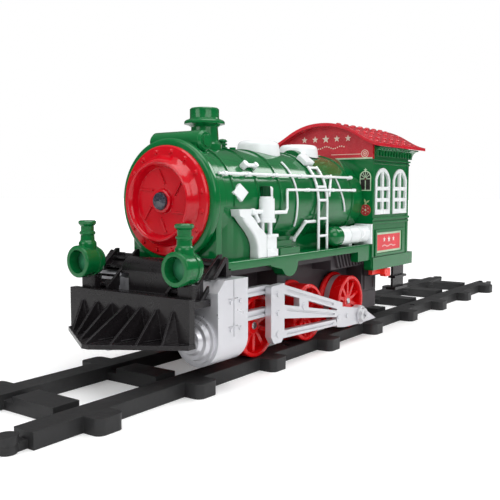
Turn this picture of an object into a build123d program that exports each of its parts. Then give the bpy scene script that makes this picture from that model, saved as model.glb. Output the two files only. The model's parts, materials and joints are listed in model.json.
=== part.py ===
from build123d import *
import math
import os

# Toy steam locomotive standing on its track. Millimetres.
# +X is the way the locomotive drives, +Y is its left side, +Z is up.
# The origin is on the underside of the track, on its centre line, under a sleeper.
os.makedirs("parts", exist_ok=True)

CUT = Mode.SUBTRACT
SIDES = (1, -1)        # left, right: the sign of y

# ---- driving dimensions -------------------------------------------------
# track
TRACK_H = 5.0
RAIL_IN = 14.5         # inner face of a rail, from the centre line
RAIL_OUT = 23.0        # outer face of a rail
RAIL_MID = (RAIL_IN + RAIL_OUT) / 2
SLEEPER_Y = 29.8       # half length of a sleeper
SLEEPER_W = 10.0
PITCH = 44.0           # sleeper spacing
SLEEPERS = 3           # sleepers in one track section
KNOB_R = 3.0
SOCKET_R = 3.1
KNOB_REACH = 5.2       # knob or socket centre from the section's end
KNOB_FOOT_H = 2.6      # height of the slim foot and its neck

# wheels and axles
WHEEL_R = 12.2         # tread radius
FLANGE_R = 13.4
TREAD_IN, TREAD_OUT = 12.8, 21.8
GROOVE_IN, GROOVE_OUT = 13.6, 16.4   # tyre groove across the tread
GROOVE_DEPTH = 0.7
AXLE_R = 1.5
CLEARANCE = 0.06       # running clearance on a radius
BORE_R = AXLE_R + CLEARANCE
AXLE_Z = 17.25
AXLE_PITCH = 38.6
FRONT_X = 48.6         # front axle
MIDDLE_X = FRONT_X - AXLE_PITCH
REAR_X = MIDDLE_X - AXLE_PITCH
AXLES = (("front", FRONT_X), ("middle", MIDDLE_X), ("rear", REAR_X))
AXLE_XS = [x for _, x in AXLES]

# crank pins and side rods
PIN_DX, PIN_DZ = 2.6, -5.4   # left crank pin from the rear axle
BOSS_R = 2.6           # crank boss that the side rod turns on
BOSS_END = 28.3        # y of the boss's outer end
ROD_IN, ROD_OUT = 25.4, 28.2

# chassis
FRAME_IN, FRAME_OUT = 7.6, 10.0
SCREW_X = (58.0, -38.0)         # body screws, on the centre line
KEEPER_SCREW_X = (-9.0, 29.0)
COUPLER_X = -78.0               # coupler pivot
HATCH_SCREW_X = -48.9
CELL_X = -54.5
CELL_Y = (-7.6, 7.6)

# gears
GEAR_MODULE = 0.6
TEETH_AXLE, TEETH_IDLER_S, TEETH_IDLER_L, TEETH_MOTOR = 28, 12, 30, 10
MESH_DIST = GEAR_MODULE * (TEETH_AXLE + TEETH_IDLER_S) / 2   # the same for both pairs
IDLER_DIR, MOTOR_DIR = math.radians(60.0), math.radians(75.0)  # up from +X
IDLER_X = REAR_X + MESH_DIST * math.cos(IDLER_DIR)
IDLER_Z = AXLE_Z + MESH_DIST * math.sin(IDLER_DIR)
MOTOR_X = IDLER_X + MESH_DIST * math.cos(MOTOR_DIR)
MOTOR_Z = IDLER_Z + MESH_DIST * math.sin(MOTOR_DIR)

# body
BOILER_Z = 65.6        # boiler axis height
BOILER_R = 20.7        # boiler barrel radius
RIM_R = 23.0           # smokebox rim radius
RIM_X = 75.8
HOOPS = (61.6, 46.0, 30.6, 2.6, -31.0)   # boiler bands
CAB_FRONT, CAB_REAR = -41.6, -84.1
CAB_Y = 25.7
CAB_WALL = 1.8
FOOT_Z0, FOOT_Z1 = 41.6, 44.0   # footplate
FOOT_Y = 25.2

# front end
CYL_Y, CYL_Z, CYL_R = 22.3, 18.4, 9.7
LAMP_Y, LAMP_Z = 23.6, 43.6


# ---- helpers: solids go into the active part, outlines into the active sketch ----
def block(x0, x1, y0, y1, z0, z1, mode=Mode.ADD):
    """Axis-aligned block between two corners."""
    with Locations(((x0 + x1) / 2, (y0 + y1) / 2, (z0 + z1) / 2)):
        Box(x1 - x0, y1 - y0, z1 - z0, mode=mode)


def side_block(side, x0, x1, y_in, y_out, z0, z1, mode=Mode.ADD):
    """Block on one side, given by its distances from the centre line."""
    y0, y1 = sorted((side * y_in, side * y_out))
    block(x0, x1, y0, y1, z0, z1, mode)


def bar(start, end, radius, mode=Mode.ADD, end_r=None):
    """Round bar, or a cone when an end radius is given."""
    origin = Vector(*start)
    run = Vector(*end) - origin
    base = (Align.CENTER, Align.CENTER, Align.MIN)
    with Locations(Plane(origin=origin, z_dir=run)):
        if end_r is None:
            Cylinder(radius, run.length, align=base, mode=mode)
        else:
            Cone(radius, end_r, run.length, align=base, mode=mode)


def bar_x(x0, x1, y, z, radius, mode=Mode.ADD, end_r=None):
    bar((x0, y, z), (x1, y, z), radius, mode, end_r)


def bar_y(x, y0, y1, z, radius, mode=Mode.ADD, end_r=None):
    bar((x, y0, z), (x, y1, z), radius, mode, end_r)


def bar_z(x, y, z0, z1, radius, mode=Mode.ADD, end_r=None):
    bar((x, y, z0), (x, y, z1), radius, mode, end_r)


def boiler_bar(x0, x1, radius, mode=Mode.ADD):
    """Round bar on the boiler axis."""
    bar_x(x0, x1, 0, BOILER_Z, radius, mode)


def clear_hoop(hoop_x, half_width, height=0.47):
    """Cut room for a boiler band."""
    boiler_bar(hoop_x - half_width, hoop_x + half_width, BOILER_R + height, CUT)


def clear_motor(z0, z1):
    """Cut the well that the motor stands in."""
    block(MOTOR_X - 11.0, MOTOR_X + 11.0, -19.4, 7.0, z0, z1, CUT)


def ball(center, radius):
    with Locations(center):
        Sphere(radius)


def outline(*points):
    """Polygon at its own coordinates."""
    Polygon(*points, align=None)


def xy(x, z):
    """Level plane through (x, 0, z)."""
    return Plane(origin=(x, 0, z), x_dir=(1, 0, 0), z_dir=(0, 0, 1))


def xz(y=0, x=0, z=0):
    """Plane whose sketch x is +X and sketch y is +Z; extruding goes to -Y."""
    return Plane(origin=(x, y, z), x_dir=(1, 0, 0), z_dir=(0, -1, 0))


def xz_side(side, y_in, y_out):
    """The xz plane from which extruding by y_out - y_in fills that span on one side."""
    return xz(max(side * y_in, side * y_out))


def yz(x):
    """Plane whose sketch x is +Y and sketch y is +Z; extruding goes to +X."""
    return Plane(origin=(x, 0, 0), x_dir=(0, 1, 0), z_dir=(1, 0, 0))


def outward(side, origin, x_dir):
    """Upright plane that faces away from the centre line."""
    return Plane(origin=origin, x_dir=x_dir, z_dir=(0, side, 0))


def barrel_pt(height, deg, x):
    """Point at a height over the boiler barrel; 0 degrees is up, positive towards +Y."""
    angle = math.radians(deg)
    radius = BOILER_R + height
    return (x, radius * math.sin(angle), BOILER_Z + radius * math.cos(angle))


def barrel_plane(height, deg, x):
    """Plane at a barrel point, facing away from the boiler axis."""
    angle = math.radians(deg)
    return Plane(origin=barrel_pt(height, deg, x), x_dir=(1, 0, 0),
                 z_dir=(0, math.sin(angle), math.cos(angle)))


def save(builder, name):
    builder.part.label = name
    export_step(builder.part, "parts/" + name + ".step")


# =========================================================================
# Track: three identical flat ladder sections, joined by knobs and sockets
# =========================================================================
SECTION_L = PITCH * SLEEPERS
for i, name in enumerate(("track_front", "track_middle", "track_rear")):
    x_mid = 2 * PITCH - i * SECTION_L
    x_rear, x_front = x_mid - SECTION_L / 2, x_mid + SECTION_L / 2
    sleeper_xs = [x_mid + k * PITCH for k in (-1, 0, 1)]
    with BuildPart() as track:
        for side in SIDES:
            side_block(side, x_rear, x_front, RAIL_IN, RAIL_OUT, 0, TRACK_H)
        for x in sleeper_xs:
            with BuildSketch(Plane.XY):
                with Locations((x, 0)):
                    RectangleRounded(SLEEPER_W, 2 * SLEEPER_Y, 2.6)
            extrude(amount=TRACK_H)
        # flangeways let the wheel flanges pass over the sleepers
        for side in SIDES:
            for x in sleeper_xs:
                side_block(side, x - 9, x + 9, 9.8, RAIL_IN, 3.0, 6, CUT)
        # knobs on the left rail's front end and the right rail's rear end
        for x_end, side in ((x_front, 1), (x_rear, -1)):
            center = (x_end + side * KNOB_REACH, side * RAIL_MID)
            with BuildSketch(Plane.XY):
                with Locations(center):
                    Circle(KNOB_R - 0.4)
            extrude(amount=KNOB_FOOT_H)
            # the wider head stands free above the foot and its neck
            with BuildSketch(Plane.XY.offset(KNOB_FOOT_H)):
                with Locations(center):
                    Circle(KNOB_R)
            extrude(amount=TRACK_H - KNOB_FOOT_H)
            with BuildSketch(Plane.XY):
                with Locations((x_end + side * 1.5, side * RAIL_MID)):
                    Rectangle(4.0, 3.2)
            extrude(amount=KNOB_FOOT_H)
        # sockets at the opposite ends
        for x_end, side in ((x_front, -1), (x_rear, 1)):
            with BuildSketch(Plane.XY):
                with Locations((x_end + side * KNOB_REACH, side * RAIL_MID)):
                    Circle(SOCKET_R)
                with Locations((x_end + side * 1.5, side * RAIL_MID)):
                    Rectangle(4.0 + 0.4, 3.4)
            extrude(amount=TRACK_H, mode=CUT)
    save(track, name)

# =========================================================================
# Chassis
# =========================================================================
with BuildPart() as chassis_frame:
    for side in SIDES:
        side_block(side, -46.0, 70.0, FRAME_IN, FRAME_OUT, 12.0, 38.0)
    # deck under the footplate, with outer blocks between the wheels
    block(-46.0, 69.0, -20.0, 20.0, 38.0, FOOT_Z0)
    for x0, x1 in ((26.2, 32.4), (64.0, 69.0)):
        for side in SIDES:
            side_block(side, x0, x1, FRAME_OUT, 20.0, 24.0, 38.0)
    # slanted ribs outside the deck and blocks below it, towards the rear
    for side in SIDES:
        for i in range(9):
            x = -42.0 + i * 3.0
            with BuildSketch(xz_side(side, 20.0, 21.4)):
                outline((x, 34.0), (x + 1.2, 34.0), (x + 4.6, FOOT_Z0), (x + 3.4, FOOT_Z0))
            extrude(amount=1.4)
        side_block(side, -45.0, -12.0, 10.0, 20.0, 33.4, 38.0)
    # side beams past the battery holder and the rear floor
    for side in SIDES:
        side_block(side, -82.0, -44.0, 18.8, 20.8, 33.4, 38.0)
    block(-82.0, -63.4, -20.8, 20.8, 31.0, 34.0)
    bar_z(COUPLER_X, 0, 29.7, 31.5, 3.2)
    # cross members
    for x0, x1 in ((66.0, 70.0), (27.0, 31.0), (REAR_X - 11.6, REAR_X - 10.4)):
        block(x0, x1, -FRAME_IN, FRAME_IN, 12.0, 38.0)
    # opening for the motor
    block(MOTOR_X - 10.4, MOTOR_X + 10.4, -19.0, 6.6, 31.2, 45.0, CUT)
    # axle bores, open below
    for x in AXLE_XS:
        bar_y(x, -11, 11, AXLE_Z, BORE_R, CUT)
        for side in SIDES:
            side_block(side, x - BORE_R, x + BORE_R, 7, 10.6, 11, AXLE_Z, CUT)
    # idler shaft bores
    bar_y(IDLER_X, -11, 11, IDLER_Z, 1.0, CUT)
    # holes for the body, coupler and front keeper screws
    for x in SCREW_X:
        bar_z(x, 0, 30, 42, 1.0, CUT)
        bar_z(x, 0, 30, 38, 2.2, CUT)
    bar_z(COUPLER_X, 0, 29, 35, 1.4, CUT)
    bar_z(KEEPER_SCREW_X[1], 0, 11, 16.4, 1.06, CUT)
save(chassis_frame, "chassis_frame")

# strips that close the axle slots from below
with BuildPart() as keeper:
    for side in SIDES:
        side_block(side, -44.0, 68.0, FRAME_IN, FRAME_OUT, 10.4, 12.0)
        for x in AXLE_XS:
            half_w = BORE_R - 0.03
            side_block(side, x - half_w, x + half_w, FRAME_IN, FRAME_OUT, 11.9, AXLE_Z)
    for x in AXLE_XS:
        bar_y(x, -11, 11, AXLE_Z, BORE_R, CUT)
    for x in KEEPER_SCREW_X:
        block(x - 2, x + 2, -FRAME_IN, FRAME_IN, 10.4, 12.0)
    for x in KEEPER_SCREW_X:
        with Locations(Plane(origin=(x, 0, 10.4), z_dir=(0, 0, -1))):
            CounterBoreHole(radius=1.1, counter_bore_radius=2.0, counter_bore_depth=0.6, depth=1.6)
save(keeper, "axle_keeper")

# battery holder standing in the cab
HOLDER_X0, HOLDER_X1, HOLDER_Y = -62.6, -46.4, 18.0
with BuildPart() as holder:
    block(HOLDER_X0, HOLDER_X1, -HOLDER_Y, HOLDER_Y, 19.4, 64.0)
    for y in CELL_Y:
        bar_z(CELL_X, y, 18.0, 64.5, 7.2, CUT)
    block(CELL_X - 1.3, CELL_X + 1.3, -3, 3, 18.0, 64.5, CUT)
    bar_z(HATCH_SCREW_X, 0, 19.0, 25.0, 1.02, CUT)
    # side ribs
    for side in SIDES:
        for x in (-59.5, -49.5):
            side_block(side, x - 0.6, x + 0.6, HOLDER_Y, HOLDER_Y + 0.6, 20.4, 31.0)
save(holder, "battery_holder")

# hatch below the holder
with BuildPart() as hatch:
    block(HOLDER_X0, HOLDER_X1, -HOLDER_Y, HOLDER_Y, 10.6, 19.3)
    block(HOLDER_X0 + 0.9, HOLDER_X1 - 0.9, -HOLDER_Y + 1.4, HOLDER_Y - 1.4, 11.9, 20.0, CUT)
    fillet(hatch.edges().filter_by(Axis.Y).group_by(Axis.Z)[0], 0.8)
    for i in range(3):
        block(-60.5 + i * 4.4, -59.3 + i * 4.4, -9, 9, 10.5, 11.0, CUT)
    bar_z(HATCH_SCREW_X, 0, 11.0, 19.3, 2.2)
    with Locations(Plane(origin=(HATCH_SCREW_X, 0, 10.6), z_dir=(0, 0, -1))):
        CounterBoreHole(radius=1.05, counter_bore_radius=2.0, counter_bore_depth=1.6, depth=9)
save(hatch, "battery_hatch")

with BuildPart() as cells:
    for y in CELL_Y:
        bar_z(CELL_X, y, 12.6, 61.6, 7.05)
        bar_z(CELL_X, y, 61.6, 63.0, 2.7)
save(cells, "battery_cells")

# spring plate above and bridge plate below the cells
with BuildPart() as contacts:
    block(-60.5, -48.5, -14.4, 14.4, 64.0, 64.5)
    for y in CELL_Y:
        bar_z(CELL_X, y, 63.05, 64.0, 2.2)
    block(-60.4, -51.4, -11.6, 11.6, 11.9, 12.5)
save(contacts, "battery_contacts")

# motor with two flats and its terminals
with BuildPart() as motor:
    bar_y(MOTOR_X, -18.0, -2.0, MOTOR_Z, 10.0)
    block(MOTOR_X - 11, MOTOR_X + 11, -19, 0, MOTOR_Z + 7.2, MOTOR_Z + 12, CUT)
    block(MOTOR_X - 11, MOTOR_X + 11, -19, 0, MOTOR_Z - 12, MOTOR_Z - 7.2, CUT)
    bar_y(MOTOR_X, -18.8, -18.0, MOTOR_Z, 3.0)
    bar_y(MOTOR_X, -2.0, -1.0, MOTOR_Z, 3.0)
    bar_y(MOTOR_X, -1.5, -0.5, MOTOR_Z, 1.1, CUT)
    for dx in (5, -5):
        x = MOTOR_X + dx
        block(x - 1, x + 1, -18.8, -18.0, MOTOR_Z - 0.8, MOTOR_Z + 0.8)
save(motor, "motor")


# ---- gears --------------------------------------------------------------
def gear_outline(teeth, phase):
    """Straight-flanked gear, six corners to a tooth; one tooth is centred on the phase."""
    pitch_r = GEAR_MODULE * teeth / 2
    tip_r = pitch_r + GEAR_MODULE * 0.9
    root_r = pitch_r - GEAR_MODULE * 1.15
    pitch = 2 * math.pi / teeth
    half_pitch = pitch * 0.25 - 0.055 / pitch_r
    half_tip = half_pitch - 0.30 * GEAR_MODULE / tip_r
    half_root = half_pitch + 0.36 * GEAR_MODULE / root_r
    # radius and angle of each corner from the tooth's middle
    corners = ((root_r, -half_root), (pitch_r, -half_pitch), (tip_r, -half_tip),
               (tip_r, half_tip), (pitch_r, half_pitch), (root_r, half_root))
    points = []
    for i in range(teeth):
        middle = phase + i * pitch
        points += [(r * math.cos(middle + a), r * math.sin(middle + a)) for r, a in corners]
    outline(*points)


# a tooth of one gear points at its mate, and a gap of the mate points back
with BuildPart() as axle_gear:
    with BuildSketch(xz(1.0, REAR_X, AXLE_Z)):
        gear_outline(TEETH_AXLE, IDLER_DIR)
        Circle(AXLE_R, mode=CUT)
    extrude(amount=4.0)
    with BuildSketch(xz(2.2, REAR_X, AXLE_Z)):
        Circle(3.4)
        Circle(AXLE_R, mode=CUT)
    extrude(amount=1.2)
save(axle_gear, "axle_gear")

with BuildPart() as idler:
    with BuildSketch(xz(2.4, IDLER_X, IDLER_Z)):
        gear_outline(TEETH_IDLER_S, IDLER_DIR + math.pi + math.pi / TEETH_IDLER_S)
    extrude(amount=5.6)
    with BuildSketch(xz(4.9, IDLER_X, IDLER_Z)):
        gear_outline(TEETH_IDLER_L, MOTOR_DIR)
    extrude(amount=2.5)
    bar_y(IDLER_X, -7, 7, IDLER_Z, 1.0 + CLEARANCE, CUT)
save(idler, "idler_gear")

with BuildPart() as idler_shaft:
    bar_y(IDLER_X, -10.0, 10.0, IDLER_Z, 1.0)
save(idler_shaft, "idler_shaft")

with BuildPart() as pinion:
    with BuildSketch(xz(5.2, MOTOR_X, MOTOR_Z)):
        gear_outline(TEETH_MOTOR, MOTOR_DIR + math.pi + math.pi / TEETH_MOTOR)
    extrude(amount=3.2)
    bar_y(MOTOR_X, 2.0, -1.4, MOTOR_Z, 1.0)
save(pinion, "motor_pinion")

# =========================================================================
# Wheels, axles, tyres, crank screws
# =========================================================================
# wheel section (radius, y): flange, tread and a dished outer face with a hub
WHEEL_PROFILE = [
    (AXLE_R, 10.8), (FLANGE_R - 0.5, 10.8), (FLANGE_R, 11.3), (FLANGE_R, 12.3),
    (WHEEL_R, TREAD_IN), (WHEEL_R, 21.4), (WHEEL_R - 0.4, TREAD_OUT), (WHEEL_R - 1.5, TREAD_OUT),
    (WHEEL_R - 1.9, 21.2), (WHEEL_R - 2.2, 17.6), (3.9, 16.8), (3.7, 19.6), (3.2, 20.2),
    (AXLE_R, 20.2),
]
SPOKE_R0, SPOKE_R1 = 3.3, WHEEL_R - 1.95


def wheel(x, side, driven=False):
    """One wheel of a pair; a driven one has a tyre groove and a crank boss."""
    axis = Axis((x, 0, AXLE_Z), (0, 1, 0))
    with BuildSketch(xy(x, AXLE_Z)) as profile:
        outline(*[(r, side * y) for r, y in WHEEL_PROFILE])
    revolve(profile.sketch, axis=axis)
    for i in range(10):
        angle = math.radians(36 * i + 18)
        direction = (math.cos(angle), 0, math.sin(angle))
        with BuildSketch(outward(side, (x, side * 20.0, AXLE_Z), direction)) as spoke:
            with Locations(((SPOKE_R0 + SPOKE_R1) / 2, 0)):
                Rectangle(SPOKE_R1 - SPOKE_R0, 1.5)
        extrude(spoke.sketch, amount=-2.9, taper=-4)
    if driven:
        r0, r1 = WHEEL_R - GROOVE_DEPTH, WHEEL_R + 0.5
        y0, y1 = side * GROOVE_IN, side * GROOVE_OUT
        with BuildSketch(xy(x, AXLE_Z)) as groove:
            outline((r0, y0), (r1, y0), (r1, y1), (r0, y1))
        revolve(groove.sketch, axis=axis, mode=CUT)
        pin_x, pin_z = x + side * PIN_DX, AXLE_Z + side * PIN_DZ
        bar_y(pin_x, side * 17.0, side * 25.2, pin_z, 3.4)
        bar_y(pin_x, side * 25.2, side * BOSS_END, pin_z, BOSS_R)
        bar_y(pin_x, side * 19.0, side * 29.0, pin_z, 0.9, CUT)


for name, x in AXLES:
    with BuildPart() as wheels:
        for side in SIDES:
            wheel(x, side, driven=name == "rear")
    save(wheels, "wheels_" + name)

with BuildPart() as tyres:
    tyre_r = WHEEL_R - GROOVE_DEPTH
    for side in SIDES:
        with BuildSketch(xy(REAR_X, AXLE_Z)):
            outline((tyre_r, side * GROOVE_IN), (WHEEL_R, side * (GROOVE_IN + 0.1)),
                    (WHEEL_R, side * (GROOVE_OUT - 0.1)), (tyre_r, side * GROOVE_OUT))
        revolve(axis=Axis((REAR_X, 0, AXLE_Z), (0, 1, 0)))
save(tyres, "traction_tyres")

for name, x in AXLES:
    with BuildPart() as axle:
        bar_y(x, -20.6, 20.6, AXLE_Z, AXLE_R)
        chamfer(axle.edges().filter_by(GeomType.CIRCLE), 0.3)
    save(axle, "axle_" + name)

# washer, tapered cross-slotted head and shank
with BuildPart() as crank_screws:
    for side in SIDES:
        pin_x, pin_z = REAR_X + side * PIN_DX, AXLE_Z + side * PIN_DZ
        with BuildSketch(outward(side, (pin_x, side * BOSS_END, pin_z), (side, 0, 0))):
            Circle(4.2)
        extrude(amount=0.5)
        with BuildSketch(outward(side, (pin_x, side * (BOSS_END + 0.5), pin_z), (side, 0, 0))):
            Circle(3.5)
        extrude(amount=1.5, taper=12)
        bar_y(pin_x, side * 19.2, side * BOSS_END, pin_z, 0.9)
        for deg in (20, 110):
            slot_dir = (math.cos(math.radians(deg)), 0, math.sin(math.radians(deg)))
            with BuildSketch(outward(side, (pin_x, side * 30.31, pin_z), slot_dir)):
                Rectangle(3.6, 0.8)
            extrude(amount=-0.9, mode=CUT)
save(crank_screws, "crank_screws")

# =========================================================================
# Side rods: one moulded frame each side, carried on the rear crank boss
# =========================================================================
PIN_X, PIN_Z = REAR_X + PIN_DX, AXLE_Z + PIN_DZ
# all points below are (x, z) on the left rod
ROD_BARS = (
    [(40.0, 33.0), (40.0, 29.4), (-8.2, 16.2), (-8.2, 19.8)],
    [(40.0, 25.0), (40.0, 19.6), (-6.0, 13.6), (-6.0, 16.4)],
    [(40.0, 14.8), (40.0, 11.8), (-4.0, 10.2), (-2.0, 13.0)],
)
# upright crosshead plate with a rounded foot
CROSSHEAD = [(39.4, 33.4), (48.6, 33.0), (48.6, 13.4), (46.6, 10.6), (41.6, 10.4), (39.4, 12.6)]
# neck and pointed tail round the eye
ROD_TAIL = [
    (-3.4, 18.6), (-9.2, 17.8), (-22.0, 15.6), (PIN_X, PIN_Z + 4.2),
    (-42.2, 8.0), (PIN_X, PIN_Z - 4.0), (-10.0, 8.4), (-3.4, 9.4),
]
# tie between the upper two bars
ROD_TIE = [(21.2, 26.2), (28.2, 28.0), (28.2, 19.0), (21.2, 17.4)]
# front end, rear end and width of the channel in each bar
ROD_CHANNELS = (
    ((37.5, 30.6), (0.0, 20.1), 0.9),
    ((37.5, 22.8), (-1.0, 15.6), 0.8),
    ((37.5, 13.2), (0.0, 11.7), 0.8),
)
# x, z, radius
ROD_RIVETS = (
    (43.9, 29.6, 1.1), (43.9, 22.2, 1.1), (43.9, 14.0, 1.3),
    (24.6, 22.4, 1.5), (-12.6, 13.2, 1.2), (-4.6, 13.9, 1.0),
)

for side, name in ((1, "side_rod_left"), (-1, "side_rod_right")):
    # the right crank stands half a turn from the left one
    dx, dz = (0.0, 0.0) if side > 0 else (-2 * PIN_DX, -2 * PIN_DZ)
    rod_plane = xz_side(side, ROD_IN, ROD_OUT)
    y_face = side * ROD_OUT
    with BuildPart() as rod:
        for points in ROD_BARS:
            with BuildSketch(rod_plane):
                outline(*[(x + dx, z + dz) for x, z in points])
            extrude(amount=ROD_OUT - ROD_IN)
        with BuildSketch(rod_plane):
            outline(*[(x + dx, z + dz) for x, z in CROSSHEAD])
            outline(*[(x + dx, z + dz) for x, z in ROD_TAIL])
            with Locations((PIN_X + dx, PIN_Z + dz)):
                Circle(4.4)
            outline(*[(x + dx, z + dz) for x, z in ROD_TIE])
        extrude(amount=ROD_OUT - ROD_IN)
        fillet(rod.edges().filter_by(Axis.Y).group_by(Axis.X)[-1], 0.6)
        # lengthways channels in the outer face of each bar
        for (x0, z0), (x1, z1), width in ROD_CHANNELS:
            middle = ((x0 + x1) / 2 + dx, y_face, (z0 + z1) / 2 + dz)
            with BuildSketch(outward(side, middle, (x1 - x0, 0, z1 - z0))):
                Rectangle(math.hypot(x1 - x0, z1 - z0), width)
            extrude(amount=-0.5, mode=CUT)
        for x, z, radius in ROD_RIVETS:
            bar_y(x + dx, y_face, y_face + side * 0.5, z + dz, radius)
        bar_y(PIN_X + dx, side * 20, side * 32, PIN_Z + dz, BOSS_R + CLEARANCE, CUT)
    save(rod, name)

# =========================================================================
# Cylinder blocks with their fixed guide bars
# =========================================================================
for side, name in ((1, "cylinder_left"), (-1, "cylinder_right")):
    y_mid, y_face = side * CYL_Y, side * (CYL_Y + CYL_R)
    with BuildPart() as cyl:
        with BuildSketch(yz(69.0)):
            with Locations((y_mid, CYL_Z)):
                Circle(CYL_R)
            outline((side * 17.0, 39.0), (y_face, 39.0), (y_face, CYL_Z), (side * 17.0, CYL_Z))
        extrude(amount=17.0)
        top = cyl.edges().filter_by(Axis.Y).group_by(Axis.Z)[-1].sort_by(Axis.X)[-1]
        chamfer(top, 4.0, 4.0)
        side_block(side, 69.0, 84.0, 10.0, 17.0, 26.0, 37.0)
        # concentric front cover
        bar_x(86.0, 87.0, y_mid, CYL_Z, 8.4)
        bar_x(87.0, 88.6, y_mid, CYL_Z, 7.2, end_r=6.6)
        bar_x(88.6, 90.0, y_mid, CYL_Z, 5.2, end_r=4.4)
        bar_x(85.4, 86.01, y_mid, CYL_Z, 9.2)
        # body panel joint lines and rivets
        side_block(side, 77.0, 77.5, 31.6, 32.1, 19.0, 38.9, CUT)
        for z in (32.4, 22.8):
            side_block(side, 75.0, 80.6, 31.7, 32.1, z - 0.2, z + 0.2, CUT)
            for x in (73.6, 78.9):
                bar_y(x, y_face, y_face + side * 0.5, z - 1.2, 0.8)
        # grooved guide bars towards the rods
        for z0, z1 in ((30.0, 33.2), (21.2, 24.6)):
            z_mid = (z0 + z1) / 2
            side_block(side, 45.6, 69.0, 22.2, 25.2, z0, z1)
            side_block(side, 46.4, 68.6, 24.7, 25.3, z_mid - 0.45, z_mid + 0.45, CUT)
    save(cyl, name)

# =========================================================================
# Boiler and footplate
# =========================================================================
with BuildPart() as boiler:
    boiler_bar(CAB_FRONT, RIM_X - 1.5, BOILER_R)
    boiler_bar(RIM_X - 3.4, RIM_X, RIM_R)
    rim_edges = boiler.edges().filter_by(GeomType.CIRCLE)
    fillet(rim_edges.filter_by(lambda e: abs(e.radius - RIM_R) < 0.01), 1.1)
    boiler_bar(RIM_X - 8.0, RIM_X - 3.4, BOILER_R + 0.9)
    for x in HOOPS:
        boiler_bar(x - 0.6, x + 0.6, BOILER_R + 0.45)
    # smokebox saddle: walls down to the footplate, with a pocket each side for the steam pipe
    with BuildSketch(yz(43.0)):
        outline((-20.4, FOOT_Z1), (-20.6, BOILER_Z - 6.0), (20.6, BOILER_Z - 6.0), (20.4, FOOT_Z1))
    extrude(amount=29.4)
    for side in SIDES:
        with BuildSketch(xz_side(side, 13.0, 26.0)):
            with BuildLine():
                Polyline((52.1, 63.6), (42.0, 63.6), (42.0, FOOT_Z1 - 0.1),
                         (52.1, FOOT_Z1 - 0.1), (52.1, 46.0))
                Spline((52.1, 46.0), (52.6, 49.6), (54.7, 52.6), (59.4, 56.8), (62.2, 59.8),
                       (63.0, 63.6))
                Line((63.0, 63.6), (52.1, 63.6))
            make_face()
        extrude(amount=13.0, mode=CUT)
        # rounded fairing in front of the pocket, set back from the saddle's corner
        with BuildSketch(Plane.XY.offset(FOOT_Z1 - 0.1)):
            with BuildLine():
                ThreePointArc((69.2, side * 14.0), (64.4, side * 18.6), (56.0, side * 20.55))
                Polyline((56.0, side * 20.55), (52.0, side * 20.7), (52.0, side * 24.0),
                         (69.2, side * 24.0), (69.2, side * 14.0))
            make_face()
        extrude(amount=19.7, mode=CUT)
    boiler_bar(40.0, 70.0, BOILER_R)
    block(-41.6, 50.0, -14.0, 14.0, FOOT_Z1, BOILER_Z - 10)
    # cover over the motor on the right-hand footplate
    block(MOTOR_X - 12.6, MOTOR_X + 12.6, -21.0, -12.0, FOOT_Z1, 49.0)
    # stepped pad on the left-hand footplate
    block(22.0, 36.6, 12.0, 24.4, FOOT_Z1, 46.6)
    block(22.4, 35.0, 12.0, 20.6, 46.6, 49.2)
    # hollow inside
    boiler_bar(CAB_FRONT - 1, 60.0, BOILER_R - 1.8, CUT)
    block(-33.0, 40.0, -12.2, 12.2, FOOT_Z1 - 1, BOILER_Z - 8, CUT)
    clear_motor(FOOT_Z1 - 1, 47.4)
    # lamp bore and the door seat
    boiler_bar(59.0, RIM_X + 1, 6.0, CUT)
    boiler_bar(RIM_X - 2.0, RIM_X + 1, 19.6, CUT)
    # round seat inside the steam dome's arch
    bar_x(-8.0, -4.4, 2.5, 81.5, 6.5)
    for x in SCREW_X:
        bar_z(x, 0, 40, 50, 1.0, CUT)
    # nothing reaches below the footplate's top
    block(-50, 80, -30, 30, 30, FOOT_Z1, CUT)
save(boiler, "boiler_shell")

FOOT_FRONT = 75.6
with BuildPart() as footplate:
    with BuildSketch(Plane.XY.offset(FOOT_Z0)) as plate:
        with Locations(((CAB_FRONT + FOOT_FRONT) / 2, 0)):
            Rectangle(FOOT_FRONT - CAB_FRONT, 2 * FOOT_Y)
        fillet(plate.vertices().sort_by(Axis.X)[-2:], 5.0)
    extrude(amount=FOOT_Z1 - FOOT_Z0)
    fillet(footplate.edges().filter_by(Axis.X).group_by(Axis.Z)[-1], 0.7)
    for side in SIDES:
        # rounded valance bracket and the block by the cab
        with BuildSketch(xz_side(side, 20.2, 25.2)):
            with BuildLine():
                Polyline((45.4, FOOT_Z0), (44.0, 40.2), (36.6, 38.6), (34.6, 36.6))
                ThreePointArc((34.6, 36.6), (29.6, 35.2), (25.6, 37.6))
                Polyline((25.6, 37.6), (24.2, FOOT_Z0), (45.4, FOOT_Z0))
            make_face()
        extrude(amount=5.0)
        side_block(side, -41.6, -28.6, 21.6, FOOT_Y, 36.1, FOOT_Z0)
        # edge strip
        side_block(side, -28.6, 70.0, 24.2, FOOT_Y, 40.8, FOOT_Z0)
    clear_motor(FOOT_Z0 - 1, FOOT_Z1 + 1)
    for x in SCREW_X:
        bar_z(x, 0, 40, 50, 1.0, CUT)
save(footplate, "footplate")

# =========================================================================
# Cab
# =========================================================================
WINDOWS = [(-61.2, -44.2), (-81.8, -64.6)]   # rear and front edge of each window
SPRING_Z = 75.0        # height where a window's arch starts
MOULDINGS = (          # z0, z1, projection
    (55.4, 56.6, 0.8), (53.6, 54.6, 0.5), (82.6, 83.4, 0.6), (84.2, 85.0, 0.9),
)


def window_line(x0, x1, inset):
    """Arched window outline, drawn in the active line."""
    x0, x1 = x0 + inset, x1 - inset
    sill = 57.8 + inset
    Polyline((x0, SPRING_Z), (x0, sill), (x1, sill), (x1, SPRING_Z))
    ThreePointArc((x1, SPRING_Z), ((x0 + x1) / 2, SPRING_Z + 6.0 - inset), (x0, SPRING_Z))


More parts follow.
